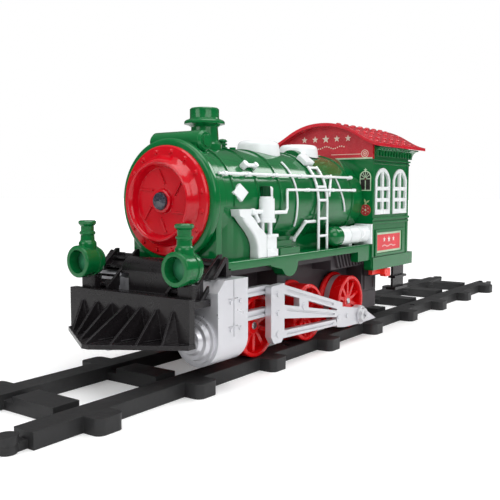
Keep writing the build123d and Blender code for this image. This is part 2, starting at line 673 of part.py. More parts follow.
with BuildPart() as cab:
    block(CAB_REAR, CAB_FRONT, -CAB_Y, CAB_Y, 32.0, 92.0)
    # base moulding with the rear platform, then the string courses
    block(-89.3, CAB_FRONT - 0.4, -26.5, 26.5, 31.0, 37.2)
    for z0, z1, proud in MOULDINGS:
        block(CAB_REAR - proud, CAB_FRONT - 0.01, -CAB_Y - proud, CAB_Y + proud, z0, z1)
    # coved cornice with dentils
    for side in SIDES:
        y_in, y_wall, y_out = side * (CAB_Y - 1.0), side * CAB_Y, side * (CAB_Y + 3.6)
        with BuildSketch(yz(CAB_REAR - 4.6)):
            with BuildLine():
                Polyline((y_in, 86.0), (y_wall, 86.0))
                ThreePointArc((y_wall, 86.0), (side * (CAB_Y + 1.1), 89.0), (y_out, 90.3))
                Polyline((y_out, 90.3), (y_out, 90.8), (y_in, 90.8), (y_in, 86.0))
            make_face()
        extrude(amount=4.6 - CAB_REAR + CAB_FRONT - 0.8)
        for i in range(13):
            x = CAB_FRONT - 2.6 - i * 3.3
            side_block(side, x - 1.0, x + 0.6, CAB_Y, CAB_Y + 1.5, 86.4, 90.0)
    block(CAB_REAR - 4.6, CAB_REAR, -CAB_Y - 3.6, CAB_Y + 3.6, 90.1, 90.8)
    for side in SIDES:
        # corner pilasters
        for x in (CAB_FRONT - 2.0, CAB_REAR):
            side_block(side, x, x + 2.0, CAB_Y - 1, CAB_Y + 0.35, 37.2, 84.2)
        # raised panel frame below the windows
        side_block(side, -78.2, -44.4, CAB_Y - 1, CAB_Y + 0.9, 37.6, 50.6)
        side_block(side, -75.6, -46.0, CAB_Y + 0.1, CAB_Y + 2, 38.9, 49.2, CUT)
        # window recesses
        for x0, x1 in WINDOWS:
            with BuildSketch(xz_side(side, CAB_Y - 0.7, CAB_Y + 1)):
                with BuildLine():
                    window_line(x0, x1, 0.2)
                make_face()
            extrude(amount=1.7, mode=CUT)
    # hollow, open above and below
    inner_y = CAB_Y - CAB_WALL
    block(CAB_REAR + CAB_WALL, CAB_FRONT - CAB_WALL, -inner_y, inner_y, 30.0, 95.0, CUT)
    # front wall: opening at the foot, and cut down at the top for the gable board
    block(CAB_FRONT - 3, CAB_FRONT + 1, -21.8, 21.8, 30.0, FOOT_Z1, CUT)
    block(CAB_FRONT - CAB_WALL, CAB_FRONT + 1, -30, 30, 84.9, 95.0, CUT)
    # cable hole towards the boiler
    bar_x(CAB_FRONT - 3, CAB_FRONT + 1, 5.0, 67.0, 3.0, CUT)
save(cab, "cab_shell")

# left half of the roof's upper face: y, z
ROOF_HALF = [(0, 102.9), (9, 101.9), (17, 98.9), (24, 94.9), (28, 93.1), (31, 92.3)]
ROOF_TOP = [(-y, z) for y, z in reversed(ROOF_HALF)][:-1] + ROOF_HALF
ROOF_UNDER = [(y, z - 1.6) for y, z in reversed(ROOF_TOP)]
ROOF_FRONT, ROOF_REAR = -36.6, -94.0
# top edge of a gable board, left to right: y, z
GABLE_TOP = [(23.0, 94.6), (16.0, 98.2), (8.0, 101.0), (0, 102.0),
             (-8.0, 101.0), (-16.0, 98.2), (-23.0, 94.6)]
# rear face and lower edge, right to left, of the front and rear boards
GABLES = (
    (CAB_FRONT - CAB_WALL, [(-CAB_Y, 92.2), (-CAB_Y, 84.95), (CAB_Y, 84.95), (CAB_Y, 92.2)]),
    (CAB_REAR, [(-23.9, 93.0), (23.9, 93.0)]),
)
with BuildPart() as roof:
    with BuildSketch(yz(ROOF_REAR)):
        with BuildLine():
            Spline(*ROOF_TOP)
            Line((31, 92.3), (31, 90.7))
            Spline(*ROOF_UNDER)
            Line((-31, 90.7), (-31, 92.3))
        make_face()
    extrude(amount=ROOF_FRONT - ROOF_REAR)
    for x, lower in GABLES:
        with BuildSketch(yz(x)):
            with BuildLine():
                Polyline(*lower, *GABLE_TOP, lower[0])
            make_face()
        extrude(amount=CAB_WALL)
    # locating ribs inside the cab walls
    for side in SIDES:
        side_block(side, -80.0, -48.0, 21.9, 23.7, 88.0, 94.4)
save(roof, "cab_roof")

# each window has two columns of panes, the top ones arched
with BuildPart() as frames:
    for side in SIDES:
        for x0, x1 in WINDOWS:
            with BuildSketch(xz_side(side, CAB_Y - 0.7, CAB_Y + 0.5)):
                with BuildLine():
                    window_line(x0, x1, 0.25)
                make_face()
                for end, jamb in ((-1, x0 + 2.1), (1, x1 - 2.1)):
                    mullion = (x0 + x1) / 2 + end * 0.9
                    for z0, z1 in ((60.4, 64.2), (66.0, 69.8)):
                        with Locations(((jamb + mullion) / 2, (z0 + z1) / 2)):
                            Rectangle(abs(jamb - mullion), z1 - z0, mode=CUT)
                    with BuildLine():
                        Polyline((mullion, 78.9), (mullion, 71.6), (jamb, 71.6), (jamb, SPRING_Z))
                        ThreePointArc((jamb, SPRING_Z), (jamb - end * 2.2, 77.6), (mullion, 78.9))
                    make_face(mode=CUT)
            extrude(amount=1.2)
save(frames, "window_frames")

LABEL_T = 0.25         # thickness of the labels on the cab front
with BuildPart() as side_labels:
    for side in SIDES:
        side_block(side, -75.4, -46.2, CAB_Y + 0.1, CAB_Y + 0.4, 39.1, 49.0)
save(side_labels, "side_labels")

with BuildPart() as front_labels:
    for side in SIDES:
        side_block(side, CAB_FRONT, CAB_FRONT + LABEL_T, 20.2, 25.2, 70.4, 78.0)
        bar_x(CAB_FRONT, CAB_FRONT + LABEL_T, side * 22.7, 78.0, 2.5)
        bar_x(CAB_FRONT, CAB_FRONT + LABEL_T, side * 22.9, 60.4, 2.4)
    boiler_bar(CAB_FRONT - 1, CAB_FRONT + 1, BOILER_R + 0.02, CUT)
save(front_labels, "front_labels")

# printed border lines and rosettes on the front gable board
with BuildPart() as gable_label:
    block(CAB_FRONT, CAB_FRONT + LABEL_T, -19.6, 19.6, 87.2, 87.6)
    for side in SIDES:
        with BuildSketch(yz(CAB_FRONT)):
            with Locations((side * 21.6, 87.4)):
                Circle(2.0)
                Circle(1.6, mode=CUT)
                Circle(0.9)
        extrude(amount=LABEL_T)
    block(CAB_FRONT, CAB_FRONT + LABEL_T, -25.5, 25.5, 85.0, 85.7)
    boiler_bar(CAB_FRONT - 1, CAB_FRONT + 1, BOILER_R + 0.02, CUT)
save(gable_label, "gable_label")

# =========================================================================
# Smokebox front
# =========================================================================
# x, radius from the boiler axis
DOOR_PROFILE = [
    (74.2, 3.3), (74.2, 19.4), (75.85, 19.4), (75.85, 20.4), (76.7, 20.4), (77.3, 19.9),
    (77.4, 16.8), (78.6, 15.9), (80.7, 15.1), (81.3, 14.7), (81.5, 14.2), (81.3, 13.7),
    (80.8, 13.3), (77.9, 12.4), (77.7, 4.6), (78.9, 4.3), (79.1, 3.9), (79.1, 3.3),
]
with BuildPart() as door:
    with BuildSketch(xz(z=BOILER_Z)):
        outline(*DOOR_PROFILE)
    revolve(axis=Axis((0, 0, BOILER_Z), (1, 0, 0)))
    # ring of bolts
    for i in range(16):
        angle = math.radians(22.5 * i + 11.25)
        y, z = 18.3 * math.sin(angle), BOILER_Z + 18.3 * math.cos(angle)
        bar_x(77.0, 78.1, y, z, 1.05, end_r=0.7)
    # slanted ribs on the dished face
    for i in range(6):
        angle = math.radians(60 * i + 20)
        turned = angle + math.radians(18)
        y0, z0 = 6.2 * math.cos(angle), 6.2 * math.sin(angle)
        y1, z1 = 11.6 * math.cos(turned), 11.6 * math.sin(turned)
        middle = (77.6, (y0 + y1) / 2, BOILER_Z + (z0 + z1) / 2)
        with BuildSketch(Plane(origin=middle, x_dir=(0, y1 - y0, z1 - z0), z_dir=(1, 0, 0))):
            Rectangle(math.hypot(y1 - y0, z1 - z0), 0.7)
        extrude(amount=0.8)
save(door, "smokebox_door")

with BuildPart() as headlight:
    boiler_bar(79.0, 79.9, 3.1)
    with Locations(Plane(origin=(78.6, 0, BOILER_Z), z_dir=(1, 0, 0))):
        Sphere(2.9, arc_size1=0)
    boiler_bar(66.0, 79.0, 3.2)
save(headlight, "headlight")

# =========================================================================
# Fittings on top of the boiler
# =========================================================================
HEATER_X, HEATER_Z = 68.0, 87.6
with BuildPart() as heater:
    bar_y(HEATER_X, -11.6, 11.6, HEATER_Z, 3.9)
    for side in SIDES:
        bar_y(HEATER_X, side * 11.6, side * 12.6, HEATER_Z, 3.9, end_r=3.2)
        bar_y(HEATER_X, side * 12.6, side * 13.2, HEATER_Z, 2.2)
    block(HEATER_X - 3.7, HEATER_X + 3.7, -10.6, 10.6, 78.0, HEATER_Z)
    boiler_bar(60.0, 80.0, BOILER_R + 0.92, CUT)
save(heater, "feedwater_heater")

CHIMNEY_X = 53.7
with BuildPart() as chimney:
    # section: radius, z
    with BuildSketch(xz(x=CHIMNEY_X)):
        with BuildLine():
            Polyline((0, 82.0), (6.8, 82.0), (6.8, 87.3), (6.2, 88.1), (5.7, 88.5), (5.5, 89.3),
                     (5.2, 94.0))
            Spline((5.2, 94.0), (6.4, 94.8), (7.9, 95.2))
            Polyline((7.9, 95.2), (7.9, 96.1), (7.3, 96.7), (5.9, 97.2), (5.7, 97.6),
                     (5.7, 100.9), (5.2, 101.4), (4.2, 101.4), (4.0, 96.0), (0, 96.0), (0, 82.0))
        make_face()
    revolve(axis=Axis((CHIMNEY_X, 0, 0), (0, 0, 1)))
    boiler_bar(40.0, 70.0, BOILER_R, CUT)
save(chimney, "chimney")

WHISTLE_X = 42.4
with BuildPart() as whistle:
    # section: radius, z
    with BuildSketch(xz(x=WHISTLE_X)):
        outline((0, 84.0), (2.0, 84.0), (2.0, 86.9), (1.3, 87.2), (1.3, 87.7), (1.9, 87.8),
                (1.9, 88.4), (1.3, 88.5), (1.3, 88.9), (1.9, 89.0), (1.9, 89.5), (1.2, 90.1),
                (0, 90.3))
    revolve(axis=Axis((WHISTLE_X, 0, 0), (0, 0, 1)))
    bar_z(35.6, 0, 84.0, 87.2, 1.3)
    boiler_bar(30.0, 60.0, BOILER_R, CUT)
save(whistle, "whistle")

for name, x_mid in (("sand_dome", 17.2), ("steam_dome", -15.6)):
    with BuildPart() as dome:
        with BuildSketch(Plane.XY.offset(74.0)):
            with Locations((x_mid, 0)):
                Ellipse(11.6, 10.6)
        extrude(amount=16.8, taper=7.5)
        fillet(dome.edges().group_by(Axis.Z)[-1], 2.4)
        boiler_bar(x_mid - 30, x_mid + 30, BOILER_R, CUT)
        # take away all below z = 81.2
        with BuildSketch(yz(x_mid - 20)):
            Rectangle(60, 2 * 81.2)
        extrude(amount=40, mode=CUT)
        for x in HOOPS:
            clear_hoop(x, 0.62)
        if name == "steam_dome":
            bar_x(-8.0, 4.0, 2.5, 81.5, 6.5, CUT)
            # landing pad of the ladder
            with BuildSketch(barrel_plane(0, 38.5, 0.6)):
                Rectangle(7.2, 5.0)
            extrude(amount=2.4)
            bar((-10.6, 6.0, 85.6), (1.2, 11.6, 83.8), 1.7)
            boiler_bar(-24, 10, BOILER_R + 0.46, CUT)
            bar_x(-8.0, 4.0, 2.5, 81.5, 6.52, CUT)
    save(dome, name)

# =========================================================================
# Handrails, sand pipes and small fittings along the boiler, both sides
# =========================================================================
UPPER_Y, UPPER_Z = 20.0, 75.7    # upper handrail
LOWER_Y, LOWER_Z = 22.0, 69.8    # lower handrail
# y, z, front end, post places, half length and radius of a post's collar
HANDRAILS = (
    (UPPER_Y, UPPER_Z, 70.4, (66.4, 52.0, 33.6, 14.0, -8.0, -29.8), 0.9, 0.85),
    (LOWER_Y, LOWER_Z, 28.2, (12.0, -9.4, -29.8), 0.8, 0.8),
)


def pipe(points, radius):
    """Round pipe swept along a smooth line through the points."""
    with BuildLine() as run:
        Spline(*points)
    path = run.wires()[0]
    with BuildSketch(Plane(origin=path @ 0, z_dir=path % 0)) as end:
        Circle(radius)
    sweep(end.sketch, path=path)


# the left side
with BuildPart() as rails:
    for y, z, x_front, posts, half_l, collar_r in HANDRAILS:
        bar_x(x_front, -30.6, y, z, 0.55)
        deg = math.degrees(math.atan2(y, z - BOILER_Z))
        for x in posts:
            bar(barrel_pt(0.02, deg, x), (x, y, z), 0.5)
            bar_x(x - half_l, x + half_l, y, z, collar_r)
    # drop pipe to the air pump
    bar((28.2, LOWER_Y, LOWER_Z), (28.2, 22.1, 62.2), 0.55)
    bar((28.2, 22.1, 62.2), (29.4, 22.2, 60.9), 0.55)
    bar((29.4, 22.2, 60.9), (39.9, 22.3, 60.9), 0.75)
    # bent stay between the upper rail and the ladder
    stay_bend = barrel_pt(0.95, 74, -8.9)
    bar(barrel_pt(0.95, 60, -13.4), stay_bend, 0.6)
    ball(stay_bend, 0.76)
    bar(stay_bend, barrel_pt(0.95, 86, -6.6), 0.7)
    # reach rod
    bar_y(12.6, 14.02, 15.9, 48.8, 1.1)
    bar((12.6, 15.7, 49.2), (10.4, 19.9, 56.2), 0.8)
    ball((10.4, 19.9, 56.2), 0.95)
    bar_x(10.4, 2.4, 19.9, 56.2, 0.7)
    # check valve on the smokebox shoulder
    bar(barrel_pt(1.3, 52, 52.4), barrel_pt(1.3, 52, 43.4), 0.8)
    bar(barrel_pt(0.03, 52, 44.0), barrel_pt(2.3, 52, 44.0), 1.1)
    bar(barrel_pt(0.06, 52, 51.2), barrel_pt(2.6, 52, 51.2), 1.4)

# angle round the barrel and x, downwards
FRONT_SAND_PIPE = ((42, 20.8), (53, 20.0), (66, 19.6), (84, 19.1), (97, 18.8), (109, 18.0),
                   (121, 16.8))
REAR_SAND_PIPE = ((62, -17.6), (73, -18.2), (84, -19.8), (95, -21.7), (105, -23.6))
with BuildPart() as sand_pipes:
    pipe([barrel_pt(0.50, deg, x) for deg, x in FRONT_SAND_PIPE], 0.45)
    pipe([barrel_pt(0.46, deg, x) for deg, x in REAR_SAND_PIPE], 0.42)

# the right side mirrors the left
one_side = rails.part.solids() + sand_pipes.part.solids()
rails.part = Compound(one_side + [solid.mirror(Plane.XZ) for solid in one_side])
save(rails, "handrails")

LADDER_X0, LADDER_X1 = -4.6, 2.8
LADDER_Y = 21.9        # upright part of the ladder
with BuildPart() as ladders:
    for side in SIDES:
        y = side * LADDER_Y
        # stringers follow the barrel, then drop to the footplate
        for x in (LADDER_X0, LADDER_X1):
            points = [barrel_pt(1.0, side * deg, x) for deg in range(48, 88, 8)] + [(x, y, 65.0)]
            for start, end in zip(points, points[1:]):
                bar(start, end, 0.62)
                ball(end, 0.68)
            bar_z(x, y, 65.0, FOOT_Z1 + 0.01, 0.62)
        # rungs
        for deg in (50, 62, 75):
            bar(barrel_pt(1.0, side * deg, LADDER_X0), barrel_pt(1.0, side * deg, LADDER_X1), 0.6)
        for z in (65.4, 57.4, 49.8):
            bar_x(LADDER_X0, LADDER_X1, y, z, 0.6)
    boiler_bar(-41.5, 70, BOILER_R, CUT)
    clear_hoop(HOOPS[3], 0.62)
    # clear of the rails they pass
    for side in SIDES:
        bar_x(-30, 30, side * UPPER_Y, UPPER_Z, 0.6, CUT)
        bar_x(-28, 28, side * LOWER_Y, LOWER_Z, 0.6, CUT)
save(ladders, "ladders")

# =========================================================================
# Air pumps, steam pipes, air tanks and diamond plates
# =========================================================================
PUMP_X = 43.4
with BuildPart() as pumps:
    for side in SIDES:
        y = side * 22.0
        # upper cylinder with its caps
        bar_z(PUMP_X, y, 57.8, 66.4, 3.5, end_r=3.4)
        bar_z(PUMP_X, y, 57.2, 58.6, 3.9)
        bar_z(PUMP_X, y, 66.4, 67.2, 2.9)
        bar_z(PUMP_X + 0.3, y, 67.2, 71.2, 2.1, end_r=1.9)
        bar_z(PUMP_X - 3.0, y, 65.0, 70.0, 1.1)
        ball((PUMP_X - 3.0, y, 70.0), 1.16)
        # nozzle
        bar_x(PUMP_X, PUMP_X + 8.0, y, 61.4, 0.9)
        ball((PUMP_X + 8.6, y, 61.4), 1.4)
        bar((PUMP_X + 7.6, y, 61.4), (PUMP_X + 5.0, y, 57.6), 0.9)
        # columns
        for dx, dy in ((-2.5, 0), (0.0, 2.2), (2.2, 0), (0, -2.2)):
            bar_z(PUMP_X + dx, y + dy, 52.0, 57.6, 0.7)
        # lower cylinder block with a flange above and below
        side_block(side, PUMP_X - 3.8, PUMP_X + 2.8, 17.6, 24.6, 46.6, 52.4)
        side_block(side, PUMP_X - 4.6, PUMP_X + 2.9, 17.6, 24.9, 51.4, 52.6)
        side_block(side, PUMP_X - 4.4, PUMP_X + 2.9, 17.6, 24.9, FOOT_Z1, 46.8)
    boiler_bar(20, 60, BOILER_R + 0.02, CUT)
    clear_hoop(HOOPS[1], 0.7)
    # room for the footplate pad and the drop pipe
    for side in SIDES:
        side_block(side, 21.9, 36.7, 11.9, 24.6, 40, 46.7, CUT)
        bar_x(36.0, 39.98, side * 22.3, 60.9, 0.77, CUT)
save(pumps, "air_pumps")

with BuildPart() as steam_pipes:
    for side in SIDES:
        with BuildSketch(xz_side(side, 20.6, 24.6)):
            with BuildLine():
                Polyline((46.5, FOOT_Z1), (51.9, FOOT_Z1), (51.9, 46.0))
                Spline((51.9, 46.0), (52.4, 49.7), (54.5, 52.8), (59.2, 57.0), (61.9, 59.6))
                Polyline((61.9, 59.6), (63.6, 60.2), (64.2, 62.6), (56.4, 62.6), (56.6, 60.6),
                         (55.6, 60.0))
                Spline((55.6, 60.0), (53.4, 58.4), (50.8, 55.9), (47.8, 54.0), (46.5, 52.9))
                Line((46.5, 52.9), (46.5, FOOT_Z1))
            make_face()
        extrude(amount=4.0)
    # round the curved edges of the outer faces
    curved = steam_pipes.edges().filter_by(GeomType.BSPLINE)
    fillet(curved.filter_by(lambda e: abs(abs((e @ 0.5).Y) - 24.6) < 0.01), 0.8)
    boiler_bar(20, 70, BOILER_R + 0.02, CUT)
    clear_hoop(HOOPS[0], 0.6)
save(steam_pipes, "steam_pipes")

TANK_Z = 48.9
with BuildPart() as tanks:
    for side in SIDES:
        y = side * 21.6
        # domed front cap and the tank behind it
        bar_x(-13.4, -10.0, y, TANK_Z, 4.5)
        ball((-10.0, y, TANK_Z), 4.45)
        bar_x(-40.0, -13.4, y, TANK_Z, 4.1)
        for x in (-21.6, -31.0):
            bar_x(x - 0.4, x + 0.4, y, TANK_Z, 4.35)
        # end plate by the cab and the support
        side_block(side, -41.5, -40.0, 17.2, 26.2, FOOT_Z1, 53.6)
        side_block(side, -27.5, -24.5, 17.0, 22.5, FOOT_Z1, TANK_Z)
    boiler_bar(-41.5, 20, BOILER_R + 0.02, CUT)
    clear_hoop(HOOPS[4], 0.62)
    # room for the motor cover
    block(MOTOR_X - 12.62, MOTOR_X + 12.62, -21.02, -11.9, 43.0, 49.02, CUT)
save(tanks, "air_tanks")

with BuildPart() as diamonds:
    for side in SIDES:
        with BuildSketch(barrel_plane(-0.6, side * 81.5, 58.6)):
            outline((0, 3.4), (4.6, 0), (0, -3.4), (-4.6, 0))
        extrude(amount=1.5)
    boiler_bar(50, 70, BOILER_R, CUT)
    clear_hoop(HOOPS[0], 0.61, 0.46)
save(diamonds, "diamond_plates")

# =========================================================================
# Front end: deck with stairs and lamp posts, pilot, lamps
# =========================================================================
DECK_Z = 32.9          # top of the deck
STAIR_IN, STAIR_OUT = 14.6, 25.4
with BuildPart() as deck:
    block(70.0, 94.6, -29.0, 29.0, 30.6, DECK_Z)
    block(86.4, 94.6, -13.0, 13.0, 24.0, 30.6)
    block(70.0, 94.6, -9.6, 9.6, 18.0, 30.6)
    block(73.6, 75.8, -24.0, 24.0, DECK_Z, FOOT_Z0)
    block(70.0, 75.8, -16.4, 16.4, DECK_Z, FOOT_Z0)
    # rounded valve chest between the stairs
    block(75.8, 86.0, -13.8, 13.8, DECK_Z, 40.0)
    bar_y(80.6, -13.8, 13.8, 40.0, 5.0)
    block(70.0, 76.0, -15, 15, 41.6, 46, CUT)
    for side in SIDES:
        # stairs: four treads with risers between two stringers
        for i in range(4):
            x = 90.4 - i * 3.7
            rise = i * 3.0
            side_block(side, x - 4.3, x, STAIR_IN, STAIR_OUT, 34.4 + rise, 35.3 + rise)
            side_block(side, x - 4.3, x - 3.5, STAIR_IN, STAIR_OUT,
                       DECK_Z + rise - 0.4, 35.2 + rise)
        for y in sorted((side * STAIR_IN, side * STAIR_OUT)):
            with BuildSketch(xz(y + 0.5)):
                outline((92.4, DECK_Z), (92.4, 34.8), (77.2, 47.2), (75.9, 47.2), (75.9, 43.6),
                        (88.4, DECK_Z))
            extrude(amount=1.0)
        # closed underside of the stairs
        with BuildSketch(xz_side(side, STAIR_IN, STAIR_OUT)):
            outline((88.0, DECK_Z), (90.2, DECK_Z), (75.8, 45.4), (75.8, 43.4))
        extrude(amount=STAIR_OUT - STAIR_IN)
        # lamp post
        with BuildSketch(Plane.XY.offset(DECK_Z)):
            with Locations((91.4, side * LAMP_Y)):
                RectangleRounded(5.0, 7.0, 1.4)
        extrude(amount=5.2)
        # slanted stay from the deck edge to the footplate
        with BuildSketch(xz_side(side, 27.5, 28.5)):
            outline((89.2, 32.5), (91.2, 32.5), (77.2, 46.5), (75.9, 45.9))
        extrude(amount=1.0)
        side_block(side, 74.2, 77.0, 22.0, 28.5, 39.4, 45.6)
    fillet(deck.edges().filter_by(Axis.Y).group_by(Axis.X)[-1].sort_by(Axis.Z)[-1], 0.6)
    # seats for the cylinder blocks and lamps
    for side in SIDES:
        side_block(side, 68.9, 86.3, 9.9, 40, 17, 39.2, CUT)
        bar_x(88.4, 99.0, side * LAMP_Y, LAMP_Z, 6.1, CUT)
        bar_x(86.0, 90.4, side * CYL_Y, CYL_Z, 8.6, CUT)
    # stairs stop short of the footplate edge
    block(60.0, 75.7, -30, 30, FOOT_Z0, 60, CUT)
save(deck, "front_deck")

PILOT_Y = 29.4         # half width of the pilot's foot
with BuildPart() as pilot:
    block(94.6, 97.2, -29.0, 29.0, 17.8, 33.0)
    block(94.3, 97.2, -29.0, 29.0, 32.95, 33.9)
    with BuildSketch(Plane.XY.offset(17.6)):
        outline((94.6, -PILOT_Y), (98.2, -PILOT_Y), (116.0, -1.6), (116.0, 1.6),
                (98.2, PILOT_Y), (94.6, PILOT_Y))
    extrude(amount=1.5)
    for i in range(-3, 4):
        y = 7.3 * i
        reach = 1.2 + 17.8 * (1 - abs(y) / PILOT_Y)
        x_toe = 97.2 + reach
        with BuildSketch(xz(y + 0.45)):
            outline((97.0, 29.8), (97.0, 19.0), (x_toe, 19.0), (x_toe - 0.4, 19.6), (97.9, 29.6))
        extrude(amount=0.9)
        # wedge along each fin, wide at the foot
        x_foot = 97.2 + reach * 0.82
        with BuildSketch(Plane.XY.offset(18.9)) as foot:
            outline((97.1, y - 2.3), (x_foot, y - 0.2), (x_foot, y + 0.2), (97.1, y + 2.3))
        with BuildSketch(Plane.XY.offset(29.0)) as tip:
            outline((97.1, y - 0.5), (97.6, y - 0.2), (97.6, y + 0.2), (97.1, y + 0.5))
        loft([foot.sketch, tip.sketch], ruled=True)
save(pilot, "pilot")

LAMP_TOP_X = 93.2      # axis of the turned top
# section of the turned top: radius, z
LAMP_TOP = [
    (0, LAMP_Z + 2), (3.6, LAMP_Z + 2), (3.2, 50.4), (2.6, 51.2), (2.5, 53.2), (2.9, 53.5),
    (2.9, 54.3), (2.4, 54.6), (2.4, 56.4), (3.2, 57.2), (3.3, 58.0), (2.8, 58.5), (1.6, 58.5),
    (1.6, 56.8), (0, 56.8),
]
for side, name in ((1, "lamp_left"), (-1, "lamp_right")):
    y = side * LAMP_Y
    with BuildPart() as lamp:
        bar_x(88.6, 90.0, y, LAMP_Z, 4.6, end_r=5.4)
        bar_x(90.0, 96.6, y, LAMP_Z, 5.4)
        bar_x(96.2, 98.4, y, LAMP_Z, 5.9)
        fillet(lamp.edges().filter_by(GeomType.CIRCLE).group_by(Axis.X)[-1], 0.5)
        bar_x(93.4, 99.0, y, LAMP_Z, 4.3, CUT)
        bar_x(91.4, 92.2, y, LAMP_Z, 5.75)
        with BuildSketch(xz(y, LAMP_TOP_X)):
            outline(*LAMP_TOP)
        revolve(axis=Axis((LAMP_TOP_X, y, 0), (0, 0, 1)))
        # clear the lens bore again
        bar_x(93.4, 99.0, y, LAMP_Z, 4.3, CUT)
    save(lamp, name)

with BuildPart() as lenses:
    for side in SIDES:
        # section: x, radius
        with BuildSketch(xz(side * LAMP_Y, z=LAMP_Z)):
            outline((93.4, 0), (93.4, 4.3), (94.2, 4.3), (94.6, 3.2), (94.9, 1.8), (95.0, 0.6),
                    (95.0, 0))
        revolve(axis=Axis((0, side * LAMP_Y, LAMP_Z), (1, 0, 0)))
save(lenses, "lamp_lenses")

# =========================================================================
# Fasteners, electronics, switch, coupler and cab steps
# =========================================================================
# x, foot of head, foot and top of shank, head radius, shank radius
PLAIN_SCREWS = [(x, 10.5, 11.0, 16.0, 1.9, 1.05) for x in KEEPER_SCREW_X] + [
    (COUPLER_X, 26.0, 27.4, 33.6, 2.6, 1.4),
    (HATCH_SCREW_X, 10.8, 12.2, 24.0, 1.9, 1.0),
]
with BuildPart() as screws:
    # body screws with a cross slot
    for x in SCREW_X:
        bar_z(x, 0, 36.6, 38.0, 2.0)
        bar_z(x, 0, 38.0, 49.0, 0.96)
        block(x - 1.4, x + 1.4, -0.25, 0.25, 36.5, 37.1, CUT)
        block(x - 0.25, x + 0.25, -1.4, 1.4, 36.5, 37.1, CUT)
    for x, z_head, z_shank, z_top, head_r, shank_r in PLAIN_SCREWS:
        bar_z(x, 0, z_head, z_shank, head_r)
        bar_z(x, 0, z_shank, z_top, shank_r)
save(screws, "screws")

BOARD_Z0, BOARD_Z1 = 64.0, 65.4
with BuildPart() as board:
    block(-2.0, 32.0, -10.0, 10.0, BOARD_Z0, BOARD_Z1)
    # components
    block(4.0, 10.0, -3.0, 3.0, BOARD_Z1, 66.8)
    block(16.0, 20.0, 2.0, 7.0, BOARD_Z1, 67.2)
    bar_z(25.0, -4.0, BOARD_Z1, 71.0, 2.5)
    block(13.0, 23.0, -6.6, -3.6, BOARD_Z1, 67.0)
    # standoffs down to the footplate
    for x in (1.0, 29.0):
        for side in SIDES:
            bar_z(x, side * 8.0, FOOT_Z1 + 0.01, BOARD_Z0, 1.2)
save(board, "circuit_board")

with BuildPart() as speaker:
    bar_z(-68.0, 0, 74.0, 76.0, 12.0)
    bar_z(-68.0, 0, 76.0, 79.0, 11.0, end_r=6.0)
    bar_z(-68.0, 0, 79.0, 82.0, 6.5)
    block(-82.3, -53.0, -4.0, 4.0, 72.4, 74.0)
save(speaker, "speaker")

WIRE_RUNS = [
    # battery contacts to the board
    [(-50.0, 5.0, 65.1), (-46.0, 5.0, 67.0), (-38.0, 5.0, 67.4), (-1.0, 5.0, 66.2)],
    [(-50.0, 3.6, 65.1), (-46.0, 3.6, 66.0), (-38.0, 3.6, 66.2), (-1.0, 3.4, 66.0)],
    # speaker to the board
    [(-60.6, 5.5, 73.4), (-52.0, 6.6, 69.4), (-44.0, 6.4, 67.6), (-38.0, 6.4, 67.0),
     (-1.0, 7.0, 66.0)],
    # board to the headlight
    [(31.0, 5.0, 66.0), (40.0, 2.0, 66.4), (65.3, 1.0, 66.4)],
    [(31.0, 3.0, 66.0), (40.0, -1.0, 65.2), (65.3, -1.0, 65.2)],
    # motor to the board
    [(MOTOR_X + 2.0, -8.0, MOTOR_Z + 7.8), (MOTOR_X + 2.0, -8.0, 58.0), (-2.7, -6.0, 64.6)],
    [(MOTOR_X - 2.0, -8.0, MOTOR_Z + 7.8), (MOTOR_X - 2.0, -8.0, 58.0), (-2.7, -8.0, 64.6)],
]
with BuildPart() as wires:
    for run in WIRE_RUNS:
        for start, end in zip(run, run[1:]):
            bar(start, end, 0.5)
            ball(end, 0.56)
save(wires, "wires")

with BuildPart() as switch_body:
    block(-58.0, -47.4, 18.7, 22.5, 27.4, 33.4)
    block(-56.6, -48.6, 19.8, 23.0, 28.8, 30.6, CUT)
save(switch_body, "switch_body")

with BuildPart() as lever:
    block(-60.0, -45.2, 22.56, 24.6, 28.4, 30.7)
    block(-56.2, -54.2, 20.4, 22.6, 29.0, 30.4)
    # finger grip
    with BuildSketch(xz(27.2)):
        outline((-60.4, 26.8), (-55.4, 26.8), (-54.0, 28.2), (-54.0, 30.7), (-60.4, 30.7))
    extrude(amount=3.0)
    fillet(lever.edges().filter_by(Axis.Y).group_by(Axis.Z)[0], 0.6)
save(lever, "switch_lever")

COUPLER_EYE_X = -98.6
with BuildPart() as coupler:
    with BuildSketch(Plane.XY.offset(27.46)):
        with Locations((COUPLER_X, 0)):
            Circle(3.4)
        with Locations((COUPLER_X - 9.5, 0)):
            Rectangle(19.0, 4.6)
        with Locations((COUPLER_EYE_X, 0)):
            Circle(4.6)
    extrude(amount=2.18)
    bar_z(COUPLER_X, 0, 27, 30, 1.4 + CLEARANCE, CUT)
    bar_z(COUPLER_EYE_X, 0, 27, 30, 2.6, CUT)
save(coupler, "rear_coupler")

with BuildPart() as steps:
    for side in SIDES:
        side_block(side, -80.0, -67.0, 24.5, CAB_Y, 20.0, 30.9)
        side_block(side, -81.0, -66.0, 22.4, 27.6, 18.8, 20.2)
        side_block(side, -80.6, -66.4, 23.4, 27.2, 24.8, 26.0)
save(steps, "cab_steps")
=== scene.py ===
"""A toy steam locomotive, dressed from its CAD pieces.

The front faces +X, the left side +Y and up is +Z; it stands on the floor at z = 0.
The script gives the pieces their plastics and metals, adds roof studs, printed labels
and the trim of the cab's rear wall, and sets a white studio around them.
Lengths are metres, except on the cab walls, where they are millimetres.
"""
import bpy, bmesh, json, math, random
from mathutils import Vector, Matrix


